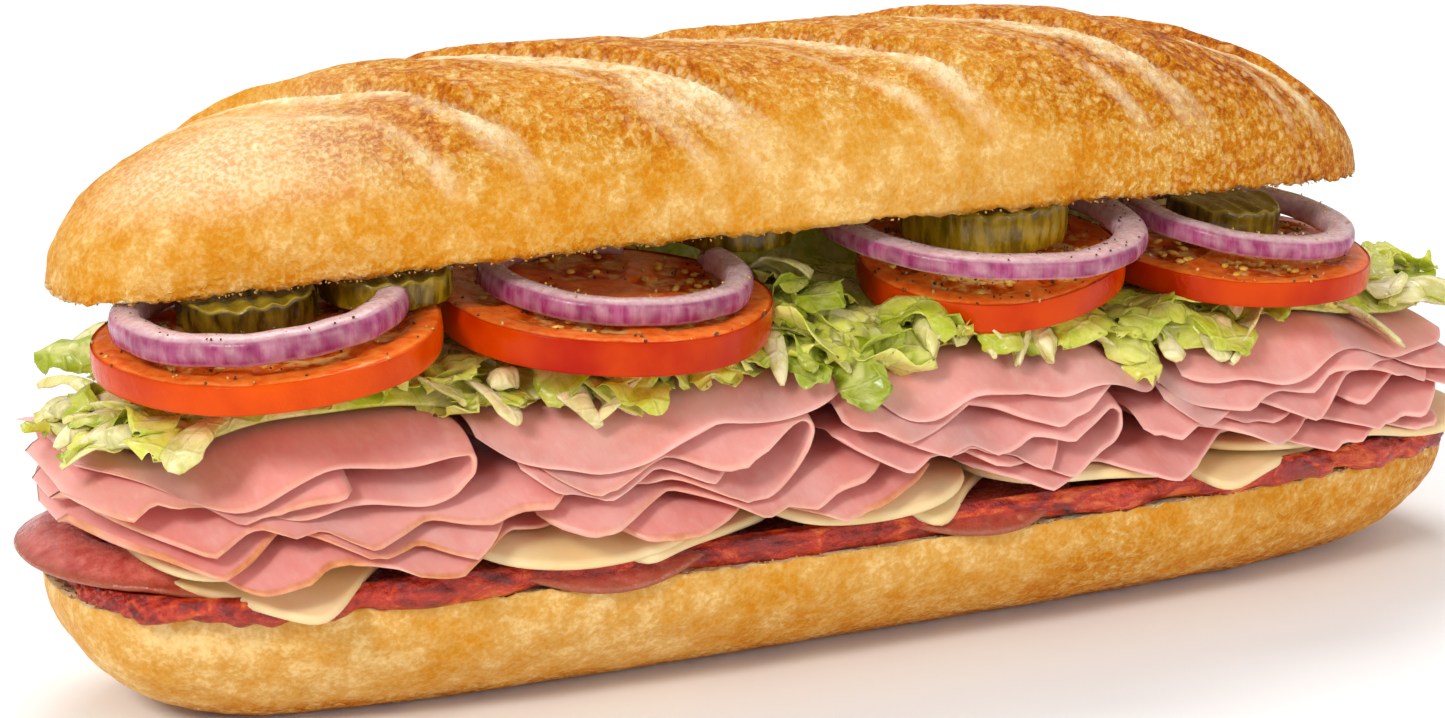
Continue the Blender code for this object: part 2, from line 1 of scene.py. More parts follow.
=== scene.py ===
"""The looks of the submarine sandwich: every node of the frame gets a detailed piece in its place.

Sizes repeat the part's own driving dimensions, in metres. Everything is worked out in the part's construction
frame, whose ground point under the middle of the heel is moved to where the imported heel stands.
"""

import math
import random

import bpy
import numpy as np
from mathutils import Euler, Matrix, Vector, noise


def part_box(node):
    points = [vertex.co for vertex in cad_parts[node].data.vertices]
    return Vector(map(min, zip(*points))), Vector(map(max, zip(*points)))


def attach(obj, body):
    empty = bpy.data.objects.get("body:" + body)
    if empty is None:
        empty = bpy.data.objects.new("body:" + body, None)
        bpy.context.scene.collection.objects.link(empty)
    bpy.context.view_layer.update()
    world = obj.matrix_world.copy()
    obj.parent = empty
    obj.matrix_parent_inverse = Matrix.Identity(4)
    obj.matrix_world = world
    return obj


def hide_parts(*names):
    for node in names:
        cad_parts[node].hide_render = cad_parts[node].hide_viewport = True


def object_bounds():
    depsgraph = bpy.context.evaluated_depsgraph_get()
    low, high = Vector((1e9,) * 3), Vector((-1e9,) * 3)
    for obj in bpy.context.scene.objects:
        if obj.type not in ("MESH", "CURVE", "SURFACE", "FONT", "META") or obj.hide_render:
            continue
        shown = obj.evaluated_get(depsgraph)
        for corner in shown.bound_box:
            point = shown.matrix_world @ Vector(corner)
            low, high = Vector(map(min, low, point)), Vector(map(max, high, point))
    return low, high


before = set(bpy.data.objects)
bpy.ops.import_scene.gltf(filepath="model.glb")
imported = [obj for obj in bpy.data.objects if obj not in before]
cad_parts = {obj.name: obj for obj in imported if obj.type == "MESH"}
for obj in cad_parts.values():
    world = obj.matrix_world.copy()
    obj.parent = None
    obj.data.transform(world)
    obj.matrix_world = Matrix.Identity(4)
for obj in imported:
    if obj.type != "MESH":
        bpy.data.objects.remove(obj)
CAD_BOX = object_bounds()
HEEL_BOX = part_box("bun_bottom")
SHIFT = Vector(((HEEL_BOX[0].x + HEEL_BOX[1].x) / 2, (HEEL_BOX[0].y + HEEL_BOX[1].y) / 2, 0))

# ---- driving dimensions, as in the part -----------------------------------------------------------
ROLL_LENGTH = 0.300
HEEL_WIDTH = 0.0865
HEEL_HEIGHT = 0.0246
HEEL_PLAN = (3.8, 2.9)
HEEL_FOOT_INSET = (0.027, 0.0235)
HEEL_TUCK = math.radians(96)
HEEL_BELLY = 0.8

CROWN_HALF = (0.139, 0.03725)
CROWN_HEIGHT = 0.0330
CROWN_CENTRE = (-0.0072, 0.0055)
CROWN_RIM_LEVEL = 0.0840
CROWN_PLAN = (3.1, 2.4)
CROWN_FLANK = 0.43
CROWN_SWELL = (0.04, 0.069, 0.17)
CROWN_BULGE = 0.02
CROWN_LEAN = 0.0083
CROWN_ARCH = 0.0083
CROWN_HOLLOW = 0.0055
CROWN_HOLLOW_RIM = 0.86

SLASH_COUNT = 5
SLASH_FIRST_X = -0.098
SLASH_PITCH = 0.0475
SLASH_TURN = math.radians(44)
SLASH_LENGTH = 0.074
SLASH_WIDTH = 0.0085
SLASH_DEPTH = 0.0022
SLASH_FADE = (0.1875, 0.8125)
SLASH_OPEN_LENGTH = 0.116
OPENINGS = (0.34, 0.85, 0.45, 0.50, 0.36)  # how wide each slash tore open, in slash widths

STACK_HALF = (0.1565, 0.0432)
STACK_PLAN = 3.0
BEND_RADIUS = 0.014
DROOP_START = (0.0425, 0.0300)
DROOP_SLOPE = (16, 38)
SALAMI_LEVELS = (0.0258, 0.0282)
SALAMI_THICK = 0.0012
CHEESE_LEVELS = (0.0309, 0.0340)
CHEESE_THICK = 0.0018
HAM_FIRST_LEVEL = 0.0370
HAM_PITCH = 0.0040
HAM_THICK = 0.0015
HAM_ROWS = 6
LETTUCE_LEVEL = 0.0600
LETTUCE_HALF = (0.1550, 0.0370)
HEEL_LEAN = 0.008
HAM_LEAN = 0.016
HAM_ARCH = 0.0040
HAM_SWAY = (0.0010, 0.065)
RUFFLE = (0.0010, 0.031)
RUFFLE_START = (0.031, 0.012)
RUFFLE_SKEW = 40.0


# ---- the filling's own form -----------------------------------------------------------------------
def blend(a, b, share):
    return a + (b - a) * share


def clamp(value, low=0.0, high=1.0):
    return max(low, min(high, value))


def smooth(value, low, high):
    """0 below low, 1 above high and an even rise between them."""
    share = clamp((value - low) / (high - low))
    return share * share * (3 - 2 * share)


def reach_at(x, y):
    norm = abs(x / STACK_HALF[0]) ** STACK_PLAN + abs(y / STACK_HALF[1]) ** STACK_PLAN
    return norm ** (1 / STACK_PLAN) * STACK_HALF[1]


def half_width_at(x, reach):
    left = (reach / STACK_HALF[1]) ** STACK_PLAN - abs(x / STACK_HALF[0]) ** STACK_PLAN
    return STACK_HALF[1] * max(left, 0.0) ** (1 / STACK_PLAN)


def up_share(level):
    top = HAM_FIRST_LEVEL + HAM_PITCH * (HAM_ROWS - 1)
    return clamp((level - HEEL_HEIGHT) / (top - HEEL_HEIGHT), 0.0, 1.1)


def lean(x, level):
    share = up_share(level)
    slope = blend(HEEL_LEAN, HAM_LEAN, share)
    arch = HAM_ARCH * (x / (ROLL_LENGTH / 2)) ** 2
    sway = HAM_SWAY[0] * math.cos(x / HAM_SWAY[1] * math.pi)
    return -slope * x + share * (sway - arch)


def sunk(past, slope):
    if past <= 0:
        return 0.0
    arc = BEND_RADIUS * math.sin(slope)
    if past < arc:
        return BEND_RADIUS - math.sqrt(BEND_RADIUS**2 - past**2)
    return BEND_RADIUS * (1 - math.cos(slope)) + (past - arc) * math.tan(slope)


WAVES = ((0.0016, 0.064, 52, 0.4), (0.0007, 0.027, 95, 1.9))  # height, length, turn per row, start
WAVE_START = (0.024, 0.041)  # reach where the waves begin, and where they are full


def waves(level, x, y, reach):
    """The hanging edges rise and fall, each row a little out of step with the next."""
    row = (level - HAM_FIRST_LEVEL) / HAM_PITCH
    full = smooth(reach, *WAVE_START) * clamp((row + 1.2) / 3)
    total = 0.0
    for height, length, turn, start in WAVES:
        skew = 14 * y
        total += height * math.sin(math.tau * x / length + math.radians(turn) * row + start + skew)
    return total * full


def layer_z(level, x, y):
    """Height of the limp layer that lies at that level in the flat middle of the filling."""
    share = up_share(level)
    start = blend(*DROOP_START, share)
    slope = math.radians(blend(*DROOP_SLOPE, share))
    reach = reach_at(x, y)
    grown = share * clamp((reach - RUFFLE_START[0]) / RUFFLE_START[1])
    ruffle = RUFFLE[0] * grown * math.sin(math.tau * x / RUFFLE[1] + RUFFLE_SKEW * y)
    return level - sunk(reach - start, slope) + lean(x, level) + ruffle + waves(level, x, y, reach)


def crown_rim_z(x):
    return CROWN_RIM_LEVEL - CROWN_LEAN * x - CROWN_ARCH * abs(x / (ROLL_LENGTH / 2)) ** 3


# ---- mesh helpers ---------------------------------------------------------------------------------
def grid_faces(rows, columns, first=0, wrap=False, flip=False):
    """Quads over a grid of points stored row by row; wrap joins the last column to the first."""
    i, j = np.meshgrid(np.arange(rows - 1), np.arange(columns if wrap else columns - 1), indexing="ij")
    i, j = i.ravel(), j.ravel()
    k = (j + 1) % columns
    quads = np.stack([i * columns + j, (i + 1) * columns + j, (i + 1) * columns + k, i * columns + k], 1)
    quads += first
    return (quads[:, ::-1] if flip else quads).tolist()


def vertex_normals(points, faces):
    """Area-weighted normals of a mesh of quads and triangles."""
    normals = np.zeros_like(points)
    for size in (3, 4):
        some = np.array([f for f in faces if len(f) == size], int).reshape(-1, size)
        if not len(some):
            continue
        a, b, c = points[some[:, 0]], points[some[:, 1]], points[some[:, 2]]
        cross = np.cross(b - a, c - a)
        if size == 4:
            cross += np.cross(c - a, points[some[:, 3]] - a)
        for corner in range(size):
            np.add.at(normals, some[:, corner], cross)
    length = np.linalg.norm(normals, axis=1, keepdims=True)
    return normals / np.maximum(length, 1e-12)


def add_piece(name, points, faces, looks, nodes=(), face_look=None, values=None):
    """A mesh piece from points in the construction frame, standing for the CAD nodes given."""
    mesh = bpy.data.meshes.new(name)
    mesh.from_pydata((np.asarray(points) + np.array(SHIFT)).tolist(), [], faces)
    for look in looks:
        mesh.materials.append(look)
    if face_look is not None:
        mesh.polygons.foreach_set("material_index", np.asarray(face_look, np.int32))
    for key, value in (values or {}).items():
        layer = mesh.attributes.new(key, "FLOAT", "POINT")
        layer.data.foreach_set("value", np.asarray(value, np.float32))
    mesh.shade_smooth()
    mesh.update()
    made = bpy.data.objects.new(name, mesh)
    bpy.context.scene.collection.objects.link(made)
    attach(made, "root")
    if nodes:
        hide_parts(*nodes)
    return made


class Heap:
    """Gathers many small bodies, with their per-point values, into one mesh."""

    def __init__(self):
        self.points, self.faces, self.values, self.looks = [], [], {}, []

    def add(self, points, faces, look=0, **values):
        first = len(self.points)
        self.points.extend(map(tuple, points))
        self.faces.extend([tuple(first + k for k in face) for face in faces])
        self.looks.extend([look] * len(faces))
        for key, value in values.items():
            value = [value] * len(points) if isinstance(value, (int, float)) else list(value)
            self.values.setdefault(key, []).extend(value)

    def make(self, name, looks, nodes=()):
        return add_piece(name, self.points, self.faces, looks, nodes, self.looks, self.values)


def closed_sheet(upper, lower):
    """Points and faces of a closed sheet from two equal grids of points, rows by columns by 3."""
    rows, columns = upper.shape[:2]
    points = np.concatenate([upper.reshape(-1, 3), lower.reshape(-1, 3)])
    shift = rows * columns
    faces = grid_faces(rows, columns) + grid_faces(rows, columns, shift, flip=True)
    rim = [i * columns for i in range(rows)]
    rim += [(rows - 1) * columns + j for j in range(1, columns)]
    rim += [i * columns + columns - 1 for i in range(rows - 2, -1, -1)]
    rim += list(range(columns - 2, 0, -1))
    for a, b in zip(rim, rim[1:] + rim[:1]):
        faces.append([b, a, shift + a, shift + b])
    return points, faces


def wobble(x, y, z, size, seed=0.0):
    """Smooth noise from -1 to 1 with features of about that size."""
    return noise.noise(Vector((x / size + seed, y / size - seed, z / size + 2 * seed)))


# ---- materials ------------------------------------------------------------------------------------
class Look:
    """One node material: methods add nodes and return the socket that carries their result."""

    def __init__(self, name, **fixed):
        self.made = bpy.data.materials.new(name)
        self.made.use_nodes = True
        self.tree = self.made.node_tree
        self.shader = self.tree.nodes["Principled BSDF"]
        for socket, value in fixed.items():
            self.shader.inputs[socket.replace("_", " ")].default_value = value
        self.place = self.tree.nodes.new("ShaderNodeTexCoord").outputs["Object"]

    def put(self, value, socket):
        if isinstance(value, bpy.types.NodeSocket):
            self.tree.links.new(value, socket)
        elif isinstance(value, tuple):
            socket.default_value = (*value, 1) if len(socket.default_value) == 4 else value
        else:
            socket.default_value = value

    def noise(self, size, detail=3.0, rough=0.55, stretch=(1, 1, 1), twist=0.0, turn=(0, 0, 0)):
        node = self.tree.nodes.new("ShaderNodeTexNoise")
        self.put(self.mapped(stretch, turn), node.inputs["Vector"])
        node.inputs["Scale"].default_value = 1 / size
        node.inputs["Detail"].default_value = detail
        node.inputs["Roughness"].default_value = rough
        node.inputs["Distortion"].default_value = twist
        return node.outputs["Fac"]

    def mapped(self, stretch=(1, 1, 1), turn=(0, 0, 0)):
        if stretch == (1, 1, 1):
            return self.place
        node = self.tree.nodes.new("ShaderNodeMapping")
        self.put(self.place, node.inputs["Vector"])
        node.inputs["Rotation"].default_value = turn
        node.inputs["Scale"].default_value = [1 / s for s in stretch]
        return node.outputs["Vector"]

    def cells(self, size, output="Distance", feature="F1", stretch=(1, 1, 1)):
        node = self.tree.nodes.new("ShaderNodeTexVoronoi")
        node.feature = feature
        self.put(self.mapped(stretch), node.inputs["Vector"])
        node.inputs["Scale"].default_value = 1 / size
        return node.outputs[output]

    def value(self, name):
        node = self.tree.nodes.new("ShaderNodeAttribute")
        node.attribute_name = name
        return node.outputs["Fac"]

    def calc(self, operation, a, b=0.0, clamped=False):
        node = self.tree.nodes.new("ShaderNodeMath")
        node.operation = operation
        node.use_clamp = clamped
        self.put(a, node.inputs[0])
        self.put(b, node.inputs[1])
        return node.outputs[0]

    def scaled(self, value, low, high, to_low=0.0, to_high=1.0):
        node = self.tree.nodes.new("ShaderNodeMapRange")
        node.interpolation_type = "SMOOTHSTEP"
        self.put(value, node.inputs["Value"])
        for socket, number in zip(("From Min", "From Max", "To Min", "To Max"), (low, high, to_low, to_high)):
            node.inputs[socket].default_value = number
        return node.outputs["Result"]

    def ramp(self, value, *stops):
        node = self.tree.nodes.new("ShaderNodeValToRGB")
        self.put(value, node.inputs["Fac"])
        elements = node.color_ramp.elements
        while len(elements) < len(stops):
            elements.new(0.5)
        for element, (place, colour) in zip(elements, stops):
            element.position = place
            element.color = (*colour, 1)
        return node.outputs["Color"]

    def mix(self, share, a, b, mode="MIX"):
        node = self.tree.nodes.new("ShaderNodeMix")
        node.data_type = "RGBA"
        node.blend_type = mode
        self.put(share, node.inputs[0])
        self.put(a, node.inputs[6])
        self.put(b, node.inputs[7])
        return node.outputs[2]

    def bump(self, height, depth, strength=1.0, under=None):
        node = self.tree.nodes.new("ShaderNodeBump")
        node.inputs["Strength"].default_value = strength
        node.inputs["Distance"].default_value = depth
        self.put(height, node.inputs["Height"])
        if under:
            self.put(under, node.inputs["Normal"])
        return node.outputs["Normal"]

    def finish(self, colour, roughness=None, normal=None):
        self.put(colour, self.shader.inputs["Base Color"])
        if roughness is not None:
            self.put(roughness, self.shader.inputs["Roughness"])
        if normal is not None:
            self.put(normal, self.shader.inputs["Normal"])
        return self.made


def crust_look():
    """Baked crust: blistered golden brown where it is well baked, paler and finer where it is not. The bake value also
    carries painted shade towards the right end, and a painted highlight turns the left end pale cream.
    """
    k = Look("crust", Specular_IOR_Level=0.10)
    bake, pale, glow = k.value("bake"), k.value("pale"), k.value("glow")
    patches = k.noise(0.008, 4, 0.6)
    flakes = k.scaled(k.noise(0.0026, 3, 0.55, twist=0.5), 0.40, 0.60, -1.0, 1.0)
    grain = k.scaled(k.noise(0.0009, 4, 0.65), 0.36, 0.64, -1.0, 1.0)
    blisters = k.calc("MULTIPLY", k.scaled(k.cells(0.0021), 0.50, 0.24), k.scaled(k.cells(0.0021, "Color"), 0.36, 0.52))
    well = k.scaled(bake, 0.26, 0.50, 0.35, 1.15)
    mottle = k.calc("ADD", k.calc("MULTIPLY", flakes, 0.14), k.calc("MULTIPLY", grain, 0.17))
    brown = k.calc("SUBTRACT", bake, k.calc("MULTIPLY", mottle, well))
    brown = k.calc("ADD", brown, k.scaled(patches, 0.3, 0.7, -0.13, 0.13), clamped=True)
    colour = k.ramp(
        brown,
        (0.0, (0.90, 0.62, 0.25)),
        (0.20, (0.73, 0.395, 0.092)),
        (0.42, (0.66, 0.270, 0.013)),
        (0.62, (0.60, 0.180, 0.0)),
        (0.82, (0.48, 0.115, 0.0)),
        (1.0, (0.29, 0.055, 0.0)),
    )
    colour = k.mix(k.calc("MULTIPLY", blisters, k.scaled(bake, 0.34, 0.52, 0.0, 0.5)), colour, (0.93, 0.60, 0.24))
    cream = k.ramp(k.noise(0.0019, 4, 0.6, twist=0.5), (0.34, (0.82, 0.46, 0.13)), (0.56, (1.0, 0.82, 0.50)))
    # painted highlight: the left end of the crown is mixed towards pale cream (0.97, 0.72, 0.44).
    colour = k.mix(glow, colour, k.mix(k.scaled(grain, -1, 1, 0.35, 0.80), colour, (0.97, 0.72, 0.44)))
    colour = k.mix(pale, colour, cream)
    height = k.calc("ADD", k.calc("MULTIPLY", flakes, 0.6), k.calc("MULTIPLY", grain, 0.4))
    normal = k.bump(k.calc("MULTIPLY", height, well), 0.00022, 0.9)
    return k.finish(colour, k.scaled(grain, -1, 1, 0.56, 0.38), normal)


def crumb_look():
    """The torn and cut inside of the bread: cream, with pores."""
    k = Look("crumb", Roughness=0.85, Subsurface_Weight=0.1, Subsurface_Scale=0.003)
    pores = k.cells(0.0024)
    holes = k.scaled(pores, 0.10, 0.45)
    fine = k.noise(0.0009, 4, 0.6)
    colour = k.ramp(k.calc("MULTIPLY", holes, fine), (0.1, (0.60, 0.38, 0.15)), (0.55, (0.84, 0.66, 0.38)))
    normal = k.bump(k.calc("ADD", holes, fine), 0.0009, 0.9)
    return k.finish(colour, None, normal)


def salami_look():
    """Dark cured sausage with flecks of fat and an oily surface; a browner rim."""
    k = Look("salami", Specular_IOR_Level=0.6, Subsurface_Weight=0.08, Subsurface_Scale=0.002)
    fat = k.scaled(k.cells(0.0034), 0.30, 0.12)
    lucky = k.scaled(k.cells(0.0034, "Color"), 0.5, 0.75)
    meat = k.ramp(
        k.noise(0.004, 4, 0.6), (0.25, (0.16, 0.008, 0.006)), (0.5, (0.36, 0.030, 0.018)), (0.8, (0.60, 0.10, 0.06))
    )
    colour = k.mix(k.calc("MULTIPLY", fat, k.calc("MULTIPLY", lucky, 0.55)), meat, (0.78, 0.36, 0.24))
    colour = k.mix(k.value("light"), colour, k.ramp(k.noise(0.003), (0.3, (0.46, 0.05, 0.035)), (0.7, (0.74, 0.20, 0.15))))
    colour = k.mix(k.value("rim"), colour, (0.34, 0.075, 0.022))
    wet = k.noise(0.0022, 4, 0.6)
    return k.finish(colour, k.scaled(wet, 0.3, 0.7, 0.12, 0.38), k.bump(wet, 0.0007, 0.7))


def sauce_look():
    """Thick dark red dressing with oil in it, over the cured meat."""
    k = Look("dressing", Specular_IOR_Level=0.7)
    lumps = k.noise(0.0045, 5, 0.68, stretch=(2.2, 1, 1), twist=1.2)
    colour = k.ramp(
        lumps,
        (0.30, (0.10, 0.003, 0.001)),
        (0.44, (0.34, 0.010, 0.002)),
        (0.55, (0.62, 0.035, 0.004)),
        (0.66, (0.80, 0.16, 0.015)),
        (0.80, (0.86, 0.38, 0.07)),
    )
    return k.finish(colour, k.scaled(lumps, 0.3, 0.7, 0.05, 0.20), k.bump(k.noise(0.0018, 5, 0.65), 0.0012, 0.9))


def cheese_look():
    k = Look("cheese", Subsurface_Weight=0.25, Subsurface_Scale=0.004, Specular_IOR_Level=0.4)
    soft = k.noise(0.012, 3, 0.5)
    colour = k.ramp(soft, (0.3, (0.84, 0.60, 0.27)), (0.7, (0.92, 0.72, 0.42)))
    fine = k.noise(0.0012, 3, 0.5)
    return k.finish(colour, k.scaled(fine, 0.3, 0.7, 0.36, 0.52), k.bump(fine, 0.00012, 0.5))


def ham_look():
    """Cooked ham: salmon pink with faint muscle grain, paler at the cut edge, browned on its outer rind."""
    k = Look("ham", Subsurface_Weight=0.3, Subsurface_Scale=0.003, Specular_IOR_Level=0.5)
    k.shader.inputs["Subsurface Radius"].default_value = (1.0, 0.4, 0.3)
    muscle = k.noise(0.013, 4, 0.6, stretch=(1.0, 2.2, 1.0))
    fibre = k.noise(0.0022, 4, 0.6, stretch=(1.0, 3.0, 1.0))
    colour = k.ramp(
        muscle, (0.28, (0.78, 0.27, 0.23)), (0.5, (0.84, 0.36, 0.32)), (0.72, (0.88, 0.45, 0.40))
    )
    colour = k.mix(k.scaled(fibre, 0.45, 0.75, 0.0, 0.3), colour, (0.92, 0.56, 0.50))
    edge = k.value("edge")
    colour = k.mix(k.calc("MULTIPLY", edge, 0.5), colour, (0.93, 0.53, 0.44))
    colour = k.mix(k.value("rind"), colour, k.ramp(fibre, (0.3, (0.55, 0.17, 0.05)), (0.7, (0.76, 0.34, 0.13))))
    wet = k.noise(0.006, 3, 0.5)
    normal = k.bump(k.calc("ADD", fibre, wet), 0.00022, 0.6)
    return k.finish(colour, k.scaled(wet, 0.35, 0.65, 0.28, 0.46), normal)


def leaf_look():
    """Iceberg leaf: yellow-green blade running to a cream rib, with fine veins."""
    k = Look("leaf", Subsurface_Weight=0.12, Subsurface_Scale=0.002, Specular_IOR_Level=0.5)
    k.shader.inputs["Subsurface Radius"].default_value = (0.6, 1.0, 0.25)
    pale, tone = k.value("pale"), k.value("tone")
    veins = k.scaled(k.cells(0.0065, feature="DISTANCE_TO_EDGE"), 0.0, 0.08, 1.0, 0.0)
    patches = k.noise(0.0045, 5, 0.6, twist=0.8)
    blade = k.ramp(
        k.calc("ADD", k.calc("MULTIPLY", tone, 0.55), k.calc("MULTIPLY", patches, 0.55), clamped=True),
        (0.15, (0.15, 0.20, 0.004)),
        (0.36, (0.38, 0.45, 0.014)),
        (0.58, (0.64, 0.67, 0.050)),
        (0.85, (0.76, 0.74, 0.16)),
    )
    blade = k.mix(k.calc("MULTIPLY", veins, 0.14), blade, (0.70, 0.74, 0.22))
    rib = k.ramp(patches, (0.3, (0.68, 0.54, 0.20)), (0.6, (0.90, 0.80, 0.48)))
    colour = k.mix(k.calc("ADD", pale, k.scaled(patches, 0.3, 0.7, -0.12, 0.12), clamped=True), blade, rib)
    normal = k.bump(k.calc("ADD", k.calc("MULTIPLY", veins, 0.5), patches), 0.0006, 0.6)
    return k.finish(colour, k.scaled(patches, 0.3, 0.7, 0.20, 0.38), normal)


def tomato_look():
    """Skin on the side, and on the face a pale wall of flesh round chambers of wet gel."""
    k = Look("tomato", Subsurface_Weight=0.05, Subsurface_Scale=0.002, Specular_IOR_Level=0.12)
    k.shader.inputs["Subsurface Radius"].default_value = (1.0, 0.15, 0.05)
    flesh = k.noise(0.0024, 4, 0.6)
    ripe = k.calc("ADD", k.value("tone"), k.scaled(k.noise(0.016, 3, 0.5), 0.3, 0.7, -0.25, 0.25))
    skin = k.ramp(ripe, (0.0, (0.40, 0.006, 0.0)), (1.0, (0.74, 0.080, 0.0)))
    wall = k.ramp(flesh, (0.3, (0.78, 0.085, 0.004)), (0.7, (0.90, 0.24, 0.030)))
    gel = k.ramp(k.noise(0.0045, 4, 0.6), (0.34, (0.40, 0.016, 0.0)), (0.50, (0.74, 0.12, 0.004)), (0.60, (0.92, 0.52, 0.15)))
    face = k.mix(k.value("gel"), wall, gel)
    colour = k.mix(k.value("skin"), face, skin)
    normal = k.bump(flesh, 0.0005, 0.5)
    return k.finish(colour, k.scaled(flesh, 0.3, 0.7, 0.06, 0.24), normal)


def onion_look():
    """Red onion: purple skin with upright streaks outside, white to lilac flesh on top and inside."""
    k = Look("onion", Subsurface_Weight=0.15, Subsurface_Scale=0.002, Specular_IOR_Level=0.28)
    streaks = k.noise(0.0014, 4, 0.65, stretch=(1, 1, 9))
    broad = k.noise(0.008, 3, 0.5, stretch=(1, 1, 4))
    purple = k.ramp(
        k.calc("ADD", k.calc("MULTIPLY", streaks, 0.6), k.calc("MULTIPLY", broad, 0.4)),
        (0.34, (0.19, 0.012, 0.066)),
        (0.48, (0.30, 0.036, 0.120)),
        (0.64, (0.44, 0.095, 0.220)),
    )
    white = k.ramp(k.noise(0.0016, 3, 0.6), (0.3, (0.54, 0.30, 0.32)), (0.65, (0.69, 0.49, 0.48)))
    colour = k.mix(k.value("skin"), white, purple)
    colour = k.mix(k.calc("MULTIPLY", k.value("blush"), 0.3), colour, (0.40, 0.11, 0.24))
    return k.finish(colour, k.scaled(streaks, 0.3, 0.7, 0.16, 0.34), k.bump(streaks, 0.0003, 0.4))


def pickle_look():
    """Pickled cucumber: olive skin on the side, yellower translucent flesh on the cut face."""
    k = Look("pickle", Subsurface_Weight=0.10, Subsurface_Scale=0.003, Specular_IOR_Level=0.4)
    k.shader.inputs["Subsurface Radius"].default_value = (0.8, 1.0, 0.15)
    streaks = k.noise(0.0022, 4, 0.6, stretch=(1, 1, 3))
    # The per-chip tone value includes painted shade: the first chip is made darker for the shadow it lies in.
    shade = k.calc("ADD", k.scaled(streaks, 0.3, 0.7, -0.35, 0.35), k.value("tone"))
    skin = k.ramp(shade, (0.0, (0.028, 0.014, 0.0)), (0.5, (0.13, 0.080, 0.001)), (1.0, (0.36, 0.23, 0.006)))
    flesh = k.ramp(k.noise(0.003, 4, 0.6), (0.3, (0.20, 0.11, 0.002)), (0.7, (0.44, 0.30, 0.018)))
    colour = k.mix(k.value("skin"), flesh, skin)
    colour = k.mix(k.calc("MULTIPLY", k.value("lip"), 0.7), colour, (0.52, 0.42, 0.05))
    return k.finish(colour, k.scaled(streaks, 0.3, 0.7, 0.08, 0.26), k.bump(streaks, 0.0005, 0.6))


def grain_look(name, dark, light, roughness, size=0.0008):
    """A small thing of one kind, uneven in colour from piece to piece."""
    k = Look(name, Specular_IOR_Level=0.5)
    colour = k.ramp(k.noise(size, 2, 0.5), (0.35, dark), (0.65, light))
    return k.finish(colour, k.scaled(k.noise(size, 2), 0.3, 0.7, roughness * 0.8, roughness), None)


# ---- the roll -------------------------------------------------------------------------------------
def slash_marks(x, y):
    """Relief of the crust at a point of the crown, and how far it is torn open to paler crust there."""
    relief, pale = 0.0, 0.0
    for i in range(SLASH_COUNT):
        dx, dy = x - (SLASH_FIRST_X + SLASH_PITCH * i), y
        along = dx * math.cos(SLASH_TURN) - dy * math.sin(SLASH_TURN)
        across = dx * math.sin(SLASH_TURN) + dy * math.cos(SLASH_TURN)
        fade = clamp(1 - (2 * along / SLASH_LENGTH) ** 2)
        long_fade = smooth(1 - abs(2 * along / SLASH_OPEN_LENGTH), 0.0, 0.35)
        drift = 0.0026 * wobble(along, i, 0, 0.016)
        q = (across + drift) / SLASH_WIDTH
        relief -= SLASH_DEPTH * fade * math.exp(-q * q)
        relief += 0.0012 * long_fade * math.exp(-(((q - 0.95) / 0.22) ** 2))
        relief -= 0.0016 * long_fade * math.exp(-(((q - 0.62) / 0.11) ** 2))
        relief -= 0.0006 * long_fade * math.exp(-(((q + 0.95 + OPENINGS[i]) / 0.10) ** 2))
        wide = OPENINGS[i] * (0.75 + 0.5 * wobble(along, i, 3, 0.012))
        opened = long_fade * smooth(q, 0.58 - 2.4 * wide, 0.58 - 0.9 * wide) * smooth(q, 0.66, 0.52)
        torn = 0.85 + 0.8 * wobble(along, across * 2.4, i, 0.005) + 0.3 * wobble(along, across, i, 0.02)
        gap = abs(q + 0.75 + 0.3 * wide)
        second = long_fade * 0.8 * smooth(gap, 0.24, 0.05) * clamp(0.5 + wobble(along, i, 6, 0.01))
        pale = max(pale, opened * clamp(torn), second)
    return relief, pale


def crown_crust(s, v):
    """A point of the crust, with its bake (with painted shade darker towards the right end), pale and painted highlight
    shares: s runs end to end and v side to side.
    """
    x = CROWN_HALF[0] * math.sin(s * math.pi / 2)
    along = abs(x / CROWN_HALF[0]) ** CROWN_PLAN[0]
    widest = CROWN_HALF[1] * max(1 - along, 0.0) ** (1 / CROWN_PLAN[1])
    y = widest * math.sin(v * math.pi / 2)
    rise = clamp(1 - along - abs(y / CROWN_HALF[1]) ** CROWN_PLAN[1]) ** CROWN_FLANK
    relief, pale = slash_marks(x, y)
    shown = clamp((rise - SLASH_FADE[0]) / (SLASH_FADE[1] - SLASH_FADE[0]))
    more, at, every = CROWN_SWELL
    height = CROWN_HEIGHT * (1 + more * math.cos(math.tau * (x - at) / every))
    wider = 1 + CROWN_BULGE * math.sin(math.pi * clamp(rise * 1.25))
    px, py = x + CROWN_CENTRE[0], y * wider + CROWN_CENTRE[1]
    up = smooth(rise, 0.30, 0.80)
    bake = 0.31 + 0.18 * up + 0.20 * up * wobble(px, py, 1.0, 0.030)
    # The first term below darkens the crust towards the right end: painted shade, for the key lamp stands on the left.
    bake += 0.24 * smooth(x, 0.02, 0.13) - 0.10 * smooth(abs(x - 0.012), 0.05, 0.02) * (1 - up) + 0.10 * smooth(rise, 0.12, 0.0)
    # painted highlight: a pale patch on the upper left end of the crown, where the key light strikes; it also lowers
    # the bake value there.
    glow = smooth(-x, 0.070, 0.112) * smooth(rise, 0.30, 0.6) * smooth(-y, -0.010, 0.012)
    bake -= 0.10 * glow
    return (px, py, crown_rim_z(px) + height * rise + relief * shown), bake, pale * smooth(rise, 0.24, 0.50), glow


